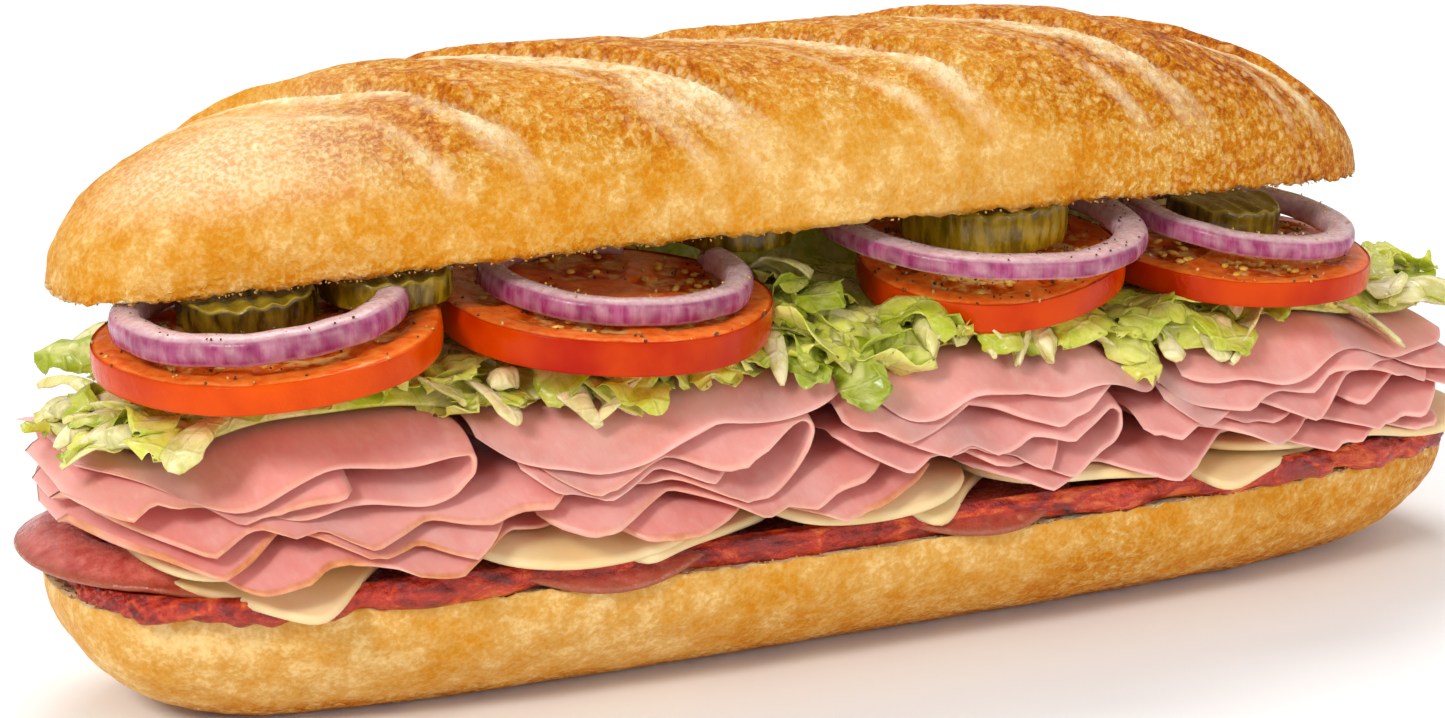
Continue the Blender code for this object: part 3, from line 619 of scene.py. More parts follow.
def crown_cut(s, v):
    x = CROWN_HALF[0] * math.sin(s * math.pi / 2)
    along = abs(x / CROWN_HALF[0]) ** CROWN_PLAN[0]
    y = CROWN_HALF[1] * max(1 - along, 0.0) ** (1 / CROWN_PLAN[1]) * v
    norm = (along + abs(y / CROWN_HALF[1]) ** CROWN_PLAN[1]) ** (1 / CROWN_PLAN[1])
    press = clamp((1 - norm) / (1 - CROWN_HOLLOW_RIM))
    px, py = x + CROWN_CENTRE[0], y + CROWN_CENTRE[1]
    return px, py, crown_rim_z(px) + CROWN_HOLLOW * press * press * (3 - 2 * press)


def build_crown(crust, crumb):
    """Closed strips round the loaf: over the crust and back under its cut face."""
    stations, over, under = 340, 120, 44
    points, bake, pale, glow = [], [], [], []
    for i in range(1, stations):
        s = -1 + 2 * i / stations
        for j in range(over + 1):
            # The second value holds the bake share, which includes painted shade, and the fourth holds the painted
            # highlight share.
            point, baked, opened, lit = crown_crust(s, -1 + 2 * j / over)
            points.append(point)
            bake.append(baked)
            pale.append(opened)
            glow.append(lit)
        for j in range(1, under):
            points.append(crown_cut(s, 1 - 2 * j / under))
            bake.append(0.2)
            pale.append(0.0)
            glow.append(0.0)
    count = over + under
    faces = grid_faces(stations - 1, count, wrap=True)
    face_look = [1 if f % count > over else 0 for f in range(len(faces))]
    for s, first, turned in ((-1, 0, True), (1, len(points) - count, False)):
        tip = len(points)
        points.append(crown_crust(s, 0)[0])
        bake.append(0.2)
        pale.append(0.0)
        glow.append(0.0)
        for i in range(count):
            edge = (first + i, first + (i + 1) % count)
            faces.append([edge[0], edge[1], tip] if turned else [edge[1], edge[0], tip])
            face_look.append(0)
    points = np.array(points)
    normals = vertex_normals(points, faces)
    rim_z = np.array([crown_rim_z(x) for x in points[:, 0]])
    for k, (x, y, z) in enumerate(points):
        near_rim = clamp(1 - (z - rim_z[k]) / 0.0018)
        bumps = 0.00045 * wobble(x, y, z, 0.011) + 0.00028 * wobble(x, y, z, 0.0035, 3.0)
        ragged = near_rim * (0.0005 * wobble(x, y, z, 0.0018, 5.0) + 0.0004 * wobble(x, y, z, 0.006, 7.0))
        points[k] += normals[k] * (bumps - 0.00035 + ragged * 1.6)
    points[:, 2] = np.minimum(points[:, 2], CAD_BOX[1][2])
    values = {"bake": bake, "pale": pale, "glow": glow}
    add_piece("top_crust", points, faces, [crust, crumb], ["bun_top"], face_look, values)


def superellipse(half, exponent, count):
    made = []
    for i in range(count):
        c, s = math.cos(math.tau * i / count), math.sin(math.tau * i / count)
        x = half[0] * math.copysign(abs(c) ** (2 / exponent), c)
        made.append((x, half[1] * math.copysign(abs(s) ** (2 / exponent), s)))
    return made


def even_outline(half, exponent, count):
    """The same outline with its points at even steps along it."""
    fine = np.array(superellipse(half, exponent, count * 8))
    step = np.linalg.norm(np.roll(fine, -1, 0) - fine, axis=1)
    length = np.concatenate([[0], np.cumsum(step)])
    wanted = np.linspace(0, length[-1], count, endpoint=False)
    closed = np.vstack([fine, fine[:1]])
    return np.stack([np.interp(wanted, length, closed[:, axis]) for axis in (0, 1)], 1)


def build_heel(crust, crumb):
    """Flat foot, rounded side and a cut face that the filling covers."""
    around, steps = 620, 34
    top = 1 - math.cos(HEEL_TUCK)
    foot = even_outline((1.0, 0.35), 3.2, around)
    angles = np.arctan2(foot[:, 1] / 0.35, foot[:, 0])
    rings, bakes = [], []
    for step in range(steps + 1):
        turn = HEEL_TUCK * step / steps
        rise = (1 - math.cos(turn)) / top
        inset = 1 - math.sin(turn)
        half = (ROLL_LENGTH / 2 - HEEL_FOOT_INSET[0] * inset, HEEL_WIDTH / 2 - HEEL_FOOT_INSET[1] * inset)
        plan = blend(*HEEL_PLAN, 1 - inset)
        ring = []
        for angle in angles:
            c, s = math.cos(angle), math.sin(angle)
            x = half[0] * math.copysign(abs(c) ** (2 / plan), c)
            y = half[1] * math.copysign(abs(s) ** (2 / plan), s)
            ring.append((x, y, rise**HEEL_BELLY * (HEEL_HEIGHT + lean(x, HEEL_HEIGHT))))
        rings.append(ring)
        bakes.append(0.30 - 0.10 * rise + 0.30 * clamp(1 - rise * 6))
    inner = [0.985, 0.94, 0.8, 0.5]
    for share in inner:
        ring = [(x * share, y * share, HEEL_HEIGHT + lean(x * share, HEEL_HEIGHT)) for x, y, _ in rings[steps]]
        rings.append(ring)
        bakes.append(0.0)
    for share in (0.97, 0.85, 0.5):
        rings.insert(0, [(x * share, y * share, 0.0) for x, y, _ in rings[0]])
        bakes.insert(0, 0.75)
    points = [p for ring in rings for p in ring]
    bake = [b for b in bakes for _ in range(around)]
    faces = grid_faces(len(rings), around, wrap=True, flip=True)
    face_look = [1 if f // around >= steps + 3 else 0 for f in range(len(faces))]
    faces.append(list(reversed(range(around))))
    faces.append(list(range(len(points) - around, len(points))))
    face_look += [0, 1]
    points = np.array(points)
    normals = vertex_normals(points, faces)
    for k, (x, y, z) in enumerate(points):
        ring = k // around
        side = clamp(z / 0.002) * (ring < steps + 3)
        bumps = 0.00040 * wobble(x, y, z, 0.012, 2.0) + 0.00025 * wobble(x, y, z, 0.0035, 4.0) - 0.0003
        ragged = (ring >= steps + 1) * (ring <= steps + 4) * 0.0008 * wobble(x, y, z, 0.0022, 6.0)
        points[k] += normals[k] * bumps * side
        points[k][2] += ragged - 0.0002 * (ring > steps + 3)
        # The wobble term is the crust's own uneven browning; the two smooth terms make it darker towards the right end
        # and lighter at the left end, as painted shade and painted light for the key lamp on the left.
        bake[k] += 0.12 * wobble(x, y, z, 0.03, 9.0) + 0.14 * smooth(x, -0.06, 0.13) - 0.06 * smooth(-x, 0.09, 0.14)
    nothing = [0.0] * len(points)
    values = {"bake": bake, "pale": nothing, "glow": nothing}
    add_piece("bottom_crust", points, faces, [crust, crumb], ["bun_bottom"], face_look, values)


# ---- flat layers ----------------------------------------------------------------------------------
def layer_slice(outline, level, thick, wave, seed):
    """A thin slice on a limp layer's surface, with a rounded edge. Returns points, faces and edge shares."""
    count = len(outline)
    middle = outline.mean(0)
    inset = [1.0, 0.75, 0.3, 0.0]
    shares = [0.15, 0.45, 0.7, 0.85, 0.93]
    rings, edge = [], []

    def ring(share, pulled, height):
        made = []
        for x, y in outline:
            px, py = blend(middle[0], x, share), blend(middle[1], y, share)
            out = math.hypot(px - middle[0], py - middle[1])
            px -= (px - middle[0]) / out * pulled
            py -= (py - middle[1]) / out * pulled
            ripple = wave * share**2 * wobble(px, py, seed, 0.020, seed)
            made.append((px, py, layer_z(level, px, py) + height + ripple))
        return made

    for share in shares:
        rings.append(ring(share, 0, thick / 2))
        edge.append(0.0)
    for pulled in inset:
        rings.append(ring(1.0, pulled * thick / 2, thick / 2 * math.sqrt(1 - (1 - pulled) ** 2)))
        edge.append(1 - pulled * 0.5)
    for pulled in reversed(inset[:-1]):
        rings.append(ring(1.0, pulled * thick / 2, -thick / 2 * math.sqrt(1 - (1 - pulled) ** 2)))
        edge.append(1 - pulled * 0.5)
    for share in reversed(shares):
        rings.append(ring(share, 0, -thick / 2))
        edge.append(0.0)
    points = np.array([p for r in rings for p in r])
    faces = grid_faces(len(rings), count, wrap=True)
    faces.append(list(range(count)))
    faces.append(list(reversed(range(len(points) - count, len(points)))))
    return points, faces, [e for e in edge for _ in range(count)]


SALAMI = (  # row, centre x and y, radius, how light it is, how far its front edge hangs down
    (0, -0.1130, -0.0040, 0.0310, 0.2, 0.0000),
    (0, -0.0390, -0.0040, 0.0365, 0.2, 0.0000),
    (0, 0.0360, 0.0000, 0.0365, 0.0, 0.0000),
    (0, 0.1080, -0.0020, 0.0340, 0.0, 0.0000),
    (1, -0.1225, 0.0020, 0.0325, 0.9, 0.0000),
    (1, -0.0560, -0.0105, 0.0345, 0.6, 0.0042),
    (1, 0.0180, -0.0105, 0.0345, 0.35, 0.0038),
    (1, 0.0890, -0.0050, 0.0335, 0.1, 0.0010),
)
LOBE_CENTRE = (-0.1225, 0.0020)
LOBE_OUTER = (0.0330, 0.0255)  # the left slice's rim slopes up between these distances from its centre
LOBE_INNER = (0.0185, 0.0225)  # and its middle slopes down again between these
LOBE_HEIGHT = 0.0052
LOBE_RIM_RISE = 0.0014


def salami_hang(x, y, drop):
    """How much lower a cured slice lies at a point than its flat layer does: its left end humps up."""
    low = drop * smooth(reach_at(x, y), 0.0385, 0.0470)
    dx, dy = x - LOBE_CENTRE[0], y - LOBE_CENTRE[1]
    out, angle = math.hypot(dx, dy), math.degrees(math.atan2(dy, dx)) % 360
    turned = smooth(angle, 95, 125) * smooth(angle, 262, 236)
    hump = LOBE_RIM_RISE + (LOBE_HEIGHT - LOBE_RIM_RISE) * smooth(out, *LOBE_OUTER)
    return low - turned * hump * smooth(out, *LOBE_INNER)


def build_salami(look):
    for i, (row, x, y, radius, light, drop) in enumerate(SALAMI):
        angles = np.linspace(0, math.tau, 120, endpoint=False)
        r = radius * (1 + 0.015 * np.sin(4 * angles + i))
        outline = np.stack([x + r * np.cos(angles), y + r * np.sin(angles)], 1)
        points, faces, edge = layer_slice(outline, SALAMI_LEVELS[row], SALAMI_THICK, 0.0006, i + 1.0)
        if row:
            points[:, 2] -= [salami_hang(px, py, drop) for px, py, _ in points]
        values = {"rim": [0.9 * e for e in edge], "light": [light * (1 - 0.5 * e) for e in edge]}
        add_piece(f"salami_slice_{i + 1}", points, faces, [look], [f"salami_{i + 1}"], None, values)


CHEESE = (  # row, centre x and y, half sides along and across, turn, corner, how far its front corner hangs
    (0, -0.1085, -0.0110, 0.0295, 0.0215, 45, 0.02, 0.0022),
    (0, -0.0500, -0.0060, 0.0180, 0.0370, 20, 0.10, 0.0010),
    (0, 0.0095, -0.0080, 0.0270, 0.0270, 45, 0.05, 0.0034),
    (0, 0.0800, -0.0060, 0.0260, 0.0350, 25, 0.05, 0.0010),
    (1, -0.1165, -0.0035, 0.0240, 0.0325, 4, 0.75, -0.0012),
    (1, -0.0600, -0.0070, 0.0265, 0.0380, -3, 0.80, 0.0020),
    (1, -0.0050, -0.0075, 0.0255, 0.0375, 2, 0.80, 0.0020),
    (1, 0.0480, -0.0060, 0.0255, 0.0380, -3, 0.50, 0.0000),
    (1, 0.1055, 0.0000, 0.0350, 0.0395, 3, 0.40, 0.0000),
)
CHEESE_HANG = (0.0350, 0.0470)  # the corners start to hang and hang in full at these reaches
CHEESE_SQUARE = 11.0


def build_cheese(look):
    for i, (row, x, y, long, wide, turn, corner, drop) in enumerate(CHEESE):
        flat = even_outline((long, wide), blend(CHEESE_SQUARE, 2.0, corner), 120)
        c, s = math.cos(math.radians(turn)), math.sin(math.radians(turn))
        outline = np.stack([x + flat[:, 0] * c - flat[:, 1] * s, y + flat[:, 0] * s + flat[:, 1] * c], 1)
        points, faces, _ = layer_slice(outline, CHEESE_LEVELS[row], CHEESE_THICK, 0.0005, i + 20.0)
        points[:, 2] -= [drop * smooth(reach_at(px, py), *CHEESE_HANG) * (py < 0) for px, py, _ in points]
        add_piece(f"cheese_slice_{i + 1}", points, faces, [look], [f"cheese_{i + 1}"])


DRESSING_PLAN = 4.2
DRESSING_REACH = 0.0385
DRESSING_ENDS = (0.1445, 0.1400)


def build_dressing(look):
    """A smeared band of dark red dressing over the cured meat, all round the roll."""
    around, across = 1100, 15
    angles = np.linspace(0, math.tau, around, endpoint=False)
    rings = []
    for j in range(across):
        turn = math.pi * (j / (across - 1) - 0.5)
        ring = []
        for angle in angles:
            c, s = math.cos(angle), math.sin(angle)
            u, w = 14 * c, 14 * s
            full = clamp(0.55 + 0.9 * wobble(u, w, 0, 1.6))
            drip = clamp(0.3 + 1.2 * wobble(u, w, 9, 1.1))
            low = 0.0004 - 0.0022 * drip
            high = 0.0045 + 0.0014 * full - 0.0014 * smooth(-c, 0.50, 0.68)
            lump = 0.0007 * wobble(u * 3, w * 3, j * 0.6, 1.0) + 0.0004 * wobble(u * 9, w * 9, j * 1.5, 1.0)
            reach = DRESSING_REACH + 0.0028 * full + (0.0016 + 0.0014 * drip) * math.cos(turn) + lump
            x = (DRESSING_ENDS[c > 0] + reach - DRESSING_REACH) * math.copysign(abs(c) ** (2 / DRESSING_PLAN), c)
            y = reach * math.copysign(abs(s) ** (2 / DRESSING_PLAN), s)
            z = HEEL_HEIGHT + lean(x, HEEL_HEIGHT) + blend(low, high, (math.sin(turn) + 1) / 2) + lump * 0.5
            ring.append((x, y, z))
        rings.append(ring)
    for j in (across - 1, 0):
        rings.append([(x * 0.9, y * 0.9, HEEL_HEIGHT + lean(x, HEEL_HEIGHT) + (0.002 if j else 0.0005)) for x, y, z in rings[j]])
    points = np.array([p for r in rings for p in r])
    faces = grid_faces(across, around, wrap=True, flip=True)
    bands = ((across - 1, across), (across, across + 1), (across + 1, 0))
    for a, b in bands:
        for k in range(around):
            n = (k + 1) % around
            faces.append([a * around + k, a * around + n, b * around + n, b * around + k])
    add_piece("red_dressing", points, faces, [look])


# ---- folded ham -----------------------------------------------------------------------------------
HAM = (  # legs (row, from x, to x), and front tips (x, out)
    (((5, -0.149, -0.088), (3, -0.088, -0.122)), ((-0.126, 0.003), (-0.100, 0.001))),
    (((5, -0.082, -0.010),), ((-0.058, 0.003), (-0.026, 0.001))),
    (((5, -0.004, 0.060),), ((0.012, 0.002), (0.044, 0.002))),
    (((5, 0.066, 0.1405),), ((0.090, 0.003), (0.118, 0.001))),
    (((4, -0.152, -0.106),), ((-0.144, 0.004), (-0.126, 0.003))),
    (((4, -0.076, -0.022), (2, -0.022, -0.054)), ((-0.062, 0.004), (-0.036, 0.002))),
    (((4, -0.012, 0.052),), ((0.000, 0.004), (0.034, 0.003))),
    (((4, 0.058, 0.1355), (2, 0.1355, 0.104)), ((0.078, 0.004), (0.108, 0.003))),
    (((3, -0.075, -0.034),), ((-0.060, 0.003),)),
    (((3, -0.008, 0.046), (1, 0.046, 0.014)), ((0.008, 0.005), (0.036, 0.004))),
    (((3, 0.060, 0.130),), ((0.066, 0.004), (0.094, 0.004))),
    (((2, -0.151, -0.066),), ((-0.132, 0.005), (-0.104, 0.004), (-0.082, 0.002))),
    (((2, -0.012, 0.036),), ((0.000, 0.004),)),
    (((2, 0.054, 0.096),), ((0.060, 0.004),)),
    (((1, -0.150, -0.078),), ((-0.131, 0.005), (-0.105, 0.004), (-0.086, 0.004))),
    (((1, -0.072, -0.002),), ((-0.062, 0.006), (-0.030, 0.004))),
    (((1, 0.060, 0.137),), ((0.082, 0.005), (0.110, 0.003))),
    (((0, -0.134, -0.066),), ((-0.121, 0.007), (-0.093, 0.007))),
    (((0, -0.060, 0.010),), ((-0.046, 0.006), (-0.014, 0.004))),
    (((0, 0.016, 0.130),), ((0.030, 0.004), (0.058, 0.005), (0.098, 0.003))),
)
HAM_EDGE = (0.0450, 0.0420)
TIP_HALF_WIDTH = 0.017
FOLD_REACH = 1.15
LEAST_HALF_WIDTH = 0.010
BACK_TIPS = (10, -0.140, 0.031, 0.0093, 0.0045)
RIND = {1: 0.3, 5: 0.6, 12: 0.8, 15: 1.0, 18: 1.0, 19: 0.9, 6: 0.3, 16: 0.5}  # how brown the rind is, by slice


def ham_level(row):
    return HAM_FIRST_LEVEL + HAM_PITCH * row


def ham_path(legs, step=0.0016):
    path = []
    for i, (row, start, end) in enumerate(legs):
        count = round(abs(end - start) / step)
        for k in range(count + 1):
            path.append((blend(start, end, k / count), ham_level(row)))
        if i + 1 < len(legs):
            above, below = ham_level(row), ham_level(legs[i + 1][0])
            middle, half = (above + below) / 2, (above - below) / 2
            side = math.copysign(FOLD_REACH * abs(half), end - start)
            for k in range(1, 16):
                turn = math.pi * k / 16
                path.append((end + side * math.sin(turn), middle + half * math.cos(turn)))
    return np.array(path)


def path_normals(path):
    run = np.gradient(path, axis=0)
    size = np.linalg.norm(run, axis=1, keepdims=True)
    run /= size
    return np.stack([-run[:, 1], run[:, 0]], 1)


def back_tips(index):
    count, first, pitch, shift, out = BACK_TIPS
    return [(first + shift * index % pitch + pitch * k, out) for k in range(count)]


TIP_SHARPEN = 1.15  # the looks' tips stand out this much more than the part's
VALLEY = 0.0045  # and between its tips an edge lies this far further back
LARGEST_REACH = 0.0500
LARGEST_BACK_REACH = 0.0484
EXTRA_TIPS = (3, 0.0042)  # further small corners on each slice, and how far they stand out


def extra_tips(index, legs):
    draw = random.Random(100 + index)
    start, end = sorted((legs[0][1], legs[0][2]))
    return [(draw.uniform(start, end), draw.uniform(0.3, 1.0) * EXTRA_TIPS[1]) for _ in range(EXTRA_TIPS[0])]


def ham_edge(row, x, tips):
    reach = blend(HAM_EDGE[0], HAM_EDGE[1], row / (HAM_ROWS - 1))
    if row == HAM_ROWS - 1:
        reach += max([0.0] + [tip * math.exp(-(((x - at) / TIP_HALF_WIDTH) ** 2)) for at, tip in tips])
        return max(half_width_at(x, reach), LEAST_HALF_WIDTH)
    out = max([0.0] + [tip * clamp(1 - abs(x - at) / TIP_HALF_WIDTH) for at, tip in tips])
    near = max([0.0] + [clamp(1 - abs(x - at) / TIP_HALF_WIDTH) for at, _ in tips])
    depth = VALLEY * (1 - near) * (1 - 0.6 * row / (HAM_ROWS - 1))
    reach = min(reach + out * TIP_SHARPEN - depth, LARGEST_REACH)
    return max(half_width_at(x, reach), LEAST_HALF_WIDTH)


def build_ham(look):
    """Each slice is swept along its folded path; its hanging edges ripple, thin out and round off."""
    inner = np.concatenate([np.linspace(-0.97, -0.60, 18), np.linspace(-0.4, 0.4, 5), np.linspace(0.60, 0.97, 12)])
    insets = (0.0, 0.00012, 0.0004, 0.0008)
    for index, (legs, tips) in enumerate(HAM):
        if legs[0][0] < HAM_ROWS - 1:
            tips = tips + tuple(extra_tips(index, legs))
        path = ham_path(legs)
        normals = path_normals(path)
        row = legs[0][0]
        seed = index + 1.0
        travelled = np.concatenate([[0], np.cumsum(np.linalg.norm(np.diff(path, axis=0), axis=1))])
        total = travelled[-1]
        grids, edge, rind = [[], []], [], []
        for k, (x, level) in enumerate(path):
            end = min(travelled[k], total - travelled[k])
            corner = 0.0035 * max(0.0, 1 - end / 0.008) ** 2
            front = ham_edge(row, x, tips) - corner + 0.0007 * wobble(x, level * 4, seed, 0.009)
            back = min(ham_edge(row, x, back_tips(index)), LARGEST_BACK_REACH) - corner
            columns = [-front + d for d in insets] + [v * front for v in inner if v < 0]
            columns += [v * back for v in inner if v >= 0] + [back - d for d in reversed(insets)]
            for side, sign in enumerate((1, -1)):
                line = []
                for j, y in enumerate(columns):
                    depth = min(j, len(columns) - 1 - j)
                    inset = insets[depth] if depth < len(insets) else 1.0
                    half = HAM_THICK / 2 * (1 - 0.35 * smooth(abs(y), 0.026, 0.044))
                    near = min(inset, end) / half
                    if near < 1:
                        half *= math.sqrt(max(1 - (1 - near) ** 2, 0.02))
                    hang = smooth(abs(y), 0.028, 0.046)
                    ripple = hang * (0.0008 * wobble(travelled[k], seed * 3, 0, 0.011) + 0.0004 * wobble(x, y, seed, 0.006))
                    px = x + normals[k][0] * half * sign
                    plevel = level + normals[k][1] * (half * sign) + ripple
                    line.append((px, y, layer_z(plevel, px, y)))
                    if side == 0:
                        near_edge = clamp(1 - min(inset, end) / 0.0008)
                        edge.append(near_edge)
                        outer = smooth(abs(y) - (front if y < 0 else back), -0.0016, -0.0002)
                        rind.append(outer * RIND.get(index + 1, 0.0) * clamp(0.7 + wobble(x, y, seed, 0.01)))
                grids[side].append(line)
        points, faces = closed_sheet(np.array(grids[0]), np.array(grids[1]))
        values = {"edge": edge * 2, "rind": rind * 2}
        add_piece(f"ham_slice_{index + 1}", points, faces, [look], [f"ham_{index + 1}"], None, values)


# ---- salad ----------------------------------------------------------------------------------------
TOMATO = (  # centre of the upper face, radius, thickness, tilts in degrees, sag towards the left front
    ((-0.1133, -0.0180, 0.0737), 0.0318, 0.0055, 3, -5, 0.0),
    ((-0.0490, -0.0197, 0.0736), 0.0320, 0.0066, 4, 2, 0.0),
    ((0.0340, -0.0172, 0.0733), 0.0270, 0.0060, 8, -3, 2.5),
    ((0.0922, -0.0151, 0.0681), 0.0285, 0.0052, 5, 2, 0.0),
)
ONION = (  # centre of the upper face, outer radius, radial width, height, tilts, arc from and to
    ((-0.1150, -0.0180, 0.0794), 0.0264, 0.0058, 0.0046, 2, -5, 38, 333),
    ((-0.0468, -0.0195, 0.0785), 0.0256, 0.0052, 0.0042, 4.5, 2.5, 62, 372),
    ((0.0321, -0.0171, 0.0803), 0.0326, 0.0066, 0.0036, 5.5, 1.5, 0, 360),
    ((0.0938, -0.0150, 0.0752), 0.0240, 0.0060, 0.0038, 6.5, 6, 0, 360),
    ((-0.0385, 0.0030, 0.0774), 0.0225, 0.0045, 0.0019, 5, 2, -42, 30),
)
PICKLE = (  # centre of the upper face, radius, thickness, tilts
    ((-0.1160, -0.0140, 0.0799), 0.0125, 0.0056, 3, -5),
    ((-0.0905, -0.0165, 0.0818), 0.0120, 0.0050, 3, -2),
    ((-0.0150, -0.0030, 0.0820), 0.0120, 0.0048, 3, 1),
    ((0.0350, -0.0130, 0.0842), 0.0165, 0.0088, 6, -3),
    ((0.0930, -0.0110, 0.0764), 0.0115, 0.0066, 5, 4),
)
SAG_TOWARDS = math.radians(215)
SAG_REACH = 0.030
CHAMBERS = (6, 5, 6, 5)
RIPE = (0.72, 0.28, 0.42, 0.40)  # shade of each tomato's skin, from deep red to orange


def placed(points, centre, tilt_x, tilt_y):
    turn = np.array(Euler((math.radians(tilt_x), math.radians(tilt_y), 0)).to_matrix())
    return np.asarray(points) @ turn.T + np.array(centre)


def sagged(x, y, z, sag):
    along = x * math.cos(SAG_TOWARDS) + y * math.sin(SAG_TOWARDS)
    return x, y, z - sag * clamp(along, 0.0, SAG_REACH) ** 2


def chamber_share(index, radius, x, y):
    """How far a point of a tomato's face lies in a seed chamber, from 0 to 1."""
    r, angle = math.hypot(x, y) / radius, math.atan2(y, x)
    angle += 0.25 * wobble(x, y, index, 0.015)
    wall = abs(math.sin(angle * CHAMBERS[index] / 2 + index))
    ring = smooth(r, 0.24, 0.34) * smooth(r, 0.84, 0.74)
    return ring * smooth(wall + 0.3 * wobble(x, y, index + 5, 0.006), 0.30, 0.52)


def build_tomatoes(look):
    around = 132
    for i, (centre, radius, thick, tilt_x, tilt_y, sag) in enumerate(TOMATO):
        top = [0.06 + 0.93 * k / 40 for k in range(41)]
        rings = []
        for r in top:
            rings.append((r, 0.0))
        for k in range(1, 12):
            turn = math.pi * k / 12
            bulge = math.sin(turn) ** 0.6
            rings.append((0.985 + 0.015 * bulge, -thick * (1 - math.cos(turn)) / 2))
        for r in (0.97, 0.8, 0.5, 0.1):
            rings.append((r, -thick))
        points, gel, skin = [], [], []
        for number, (share, z) in enumerate(rings):
            for k in range(around):
                angle = math.tau * k / around
                round_off = 0.978 + 0.012 * math.sin(3 * angle + i) + 0.008 * math.sin(5 * angle + 2 * i)
                r = radius * share * (1 + (round_off - 1) * share)
                x, y = r * math.cos(angle), r * math.sin(angle)
                wet = chamber_share(i, radius, x, y) if z == 0.0 else 0.0
                relief = -0.0007 * wet + 0.00022 * wobble(x, y, z, 0.003, i) + 0.0003 * wobble(x, y, 0, 0.009, i)
                low = relief * (number < len(top)) - 0.0004 * smooth(share, 0.955, 0.99) * (z == 0.0)
                points.append(sagged(x, y, z + low, sag))
                gel.append(wet)
                skin.append(smooth(share, 0.965, 0.99) if number < len(top) + 11 else 0.0)
        faces = grid_faces(len(rings), around, wrap=True)
        faces.append(list(range(around)))
        faces.append(list(reversed(range(len(points) - around, len(points)))))
        points = placed(points, centre, tilt_x, tilt_y)
        values = {"gel": gel, "skin": skin, "tone": [RIPE[i]] * len(points)}
        add_piece(f"tomato_slice_{i + 1}", points, faces, [look], [f"tomato_{i + 1}"], None, values)


def build_onions(look):
    for i, (centre, radius, width, height, tilt_x, tilt_y, start, end) in enumerate(ONION):
        inner = radius - width
        soft = height * 0.12
        profile = [  # radius, height, share of skin, blush
            (inner + 0.0006, 0.0, 0.0, 0.3),
            (inner + width * 0.3, soft * 0.6, 0.0, 0.0),
            (inner + width * 0.55, soft, 0.0, 0.0),
            (inner + width * 0.8, soft * 0.6, 0.0, 0.1),
            (radius - 0.0007, 0.0, 0.15, 0.6),
            (radius - 0.0003, -0.0003, 0.9, 0.0),
            (radius, -height * 0.25, 1.0, 0.0),
            (radius * 1.004, -height * 0.5, 1.0, 0.0),
            (radius, -height * 0.8, 1.0, 0.0),
            (radius - 0.0003, -height + 0.0003, 0.5, 0.0),
            (radius - 0.0008, -height, 0.0, 0.0),
            (inner + width * 0.5, -height, 0.0, 0.0),
            (inner + 0.0008, -height, 0.0, 0.0),
            (inner, -height * 0.7, 0.1, 0.3),
            (inner, -height * 0.3, 0.1, 0.4),
        ]
        whole = end - start >= 360
        steps = round((end - start) / 2)
        points, skin, blush = [], [], []
        for k in range(steps if whole else steps + 1):
            turn = math.radians(blend(start, end, k / steps))
            c, s = math.cos(turn), math.sin(turn)
            sway = 0.00045 * wobble(c * 2, s * 2, i, 1.0)
            lift = 0.0003 * wobble(c * 3, s * 3, i + 4, 1.0)
            for r, z, skinned, blushed in profile:
                fine = 0.00012 * wobble(c * 30, s * 30, z * 900, 1.0)
                points.append(((r + sway + fine) * c, (r + sway + fine) * s, z + lift))
                skin.append(skinned * clamp(0.9 + 0.6 * wobble(c * 14, s * 14, z * 400, 1.0)))
                blush.append(blushed)
        faces = grid_faces(len(points) // len(profile), len(profile), wrap=True)
        if whole:
            last = len(points) - len(profile)
            for j in range(len(profile)):
                n = (j + 1) % len(profile)
                faces.append([last + j, j, n, last + n])
        else:
            faces.append(list(range(len(profile))))
            faces.append(list(reversed(range(len(points) - len(profile), len(points)))))
        points = placed(points, centre, tilt_x, tilt_y)
        values = {"skin": skin, "blush": blush}
        add_piece(f"onion_ring_{i + 1}", points, faces, [look], [f"onion_{i + 1}"], None, values)


RIDGES = (22, 20, 24, 34, 26)
# Each chip's skin tone; the first chip's low value is painted shade, for it lies in shadow.
PICKLE_TONE = (0.15, 0.62, 0.55, 0.82, 0.42)


def build_pickles(look):
    around = 170
    for i, (centre, radius, thick, tilt_x, tilt_y) in enumerate(PICKLE):
        rings = [(r, 0.0, 0.0) for r in (0.05, 0.25, 0.45, 0.62, 0.75, 0.85, 0.91, 0.945)]
        for k in range(11):
            turn = math.pi * k / 10
            rings.append((0.955 + 0.045 * math.sin(turn) ** 0.5, -thick * (1 - math.cos(turn)) / 2, 1.0))
        rings += [(r, -thick, 0.0) for r in (0.93, 0.6, 0.1)]
        points, skin, lip = [], [], []
        for share, z, side in rings:
            for k in range(around):
                angle = math.tau * k / around
                ridge = 0.009 * math.sin(RIDGES[i] * angle) * side
                r = radius * share * (1 + ridge + 0.02 * math.sin(5 * angle) * share)
                x, y = r * math.cos(angle), r * math.sin(angle)
                crinkle = 0.00035 * math.sin(x / 0.0021 * math.pi + i) * smooth(share, 0.0, 0.3)
                soft = 0.0003 * wobble(x, y, z, 0.005, i)
                points.append((x, y, z + soft + crinkle * (z > -thick * 0.9) * (1 - side * min(1, -z / thick * 2))))
                skin.append(side * smooth(-z, 0.0, 0.0005) * clamp(1.1 + 0.7 * wobble(x, y, z, 0.004, i)))
                lip.append(clamp(1 - abs(share - 0.955) / 0.025) * (z > -0.0004))
        faces = grid_faces(len(rings), around, wrap=True)
        faces.append(list(range(around)))
        faces.append(list(reversed(range(len(points) - around, len(points)))))
        points = placed(points, centre, tilt_x, tilt_y)
        values = {"skin": skin, "lip": lip, "tone": [PICKLE_TONE[i]] * len(points)}
        add_piece(f"pickle_chip_{i + 1}", points, faces, [look], [f"pickle_{i + 1}"], None, values)


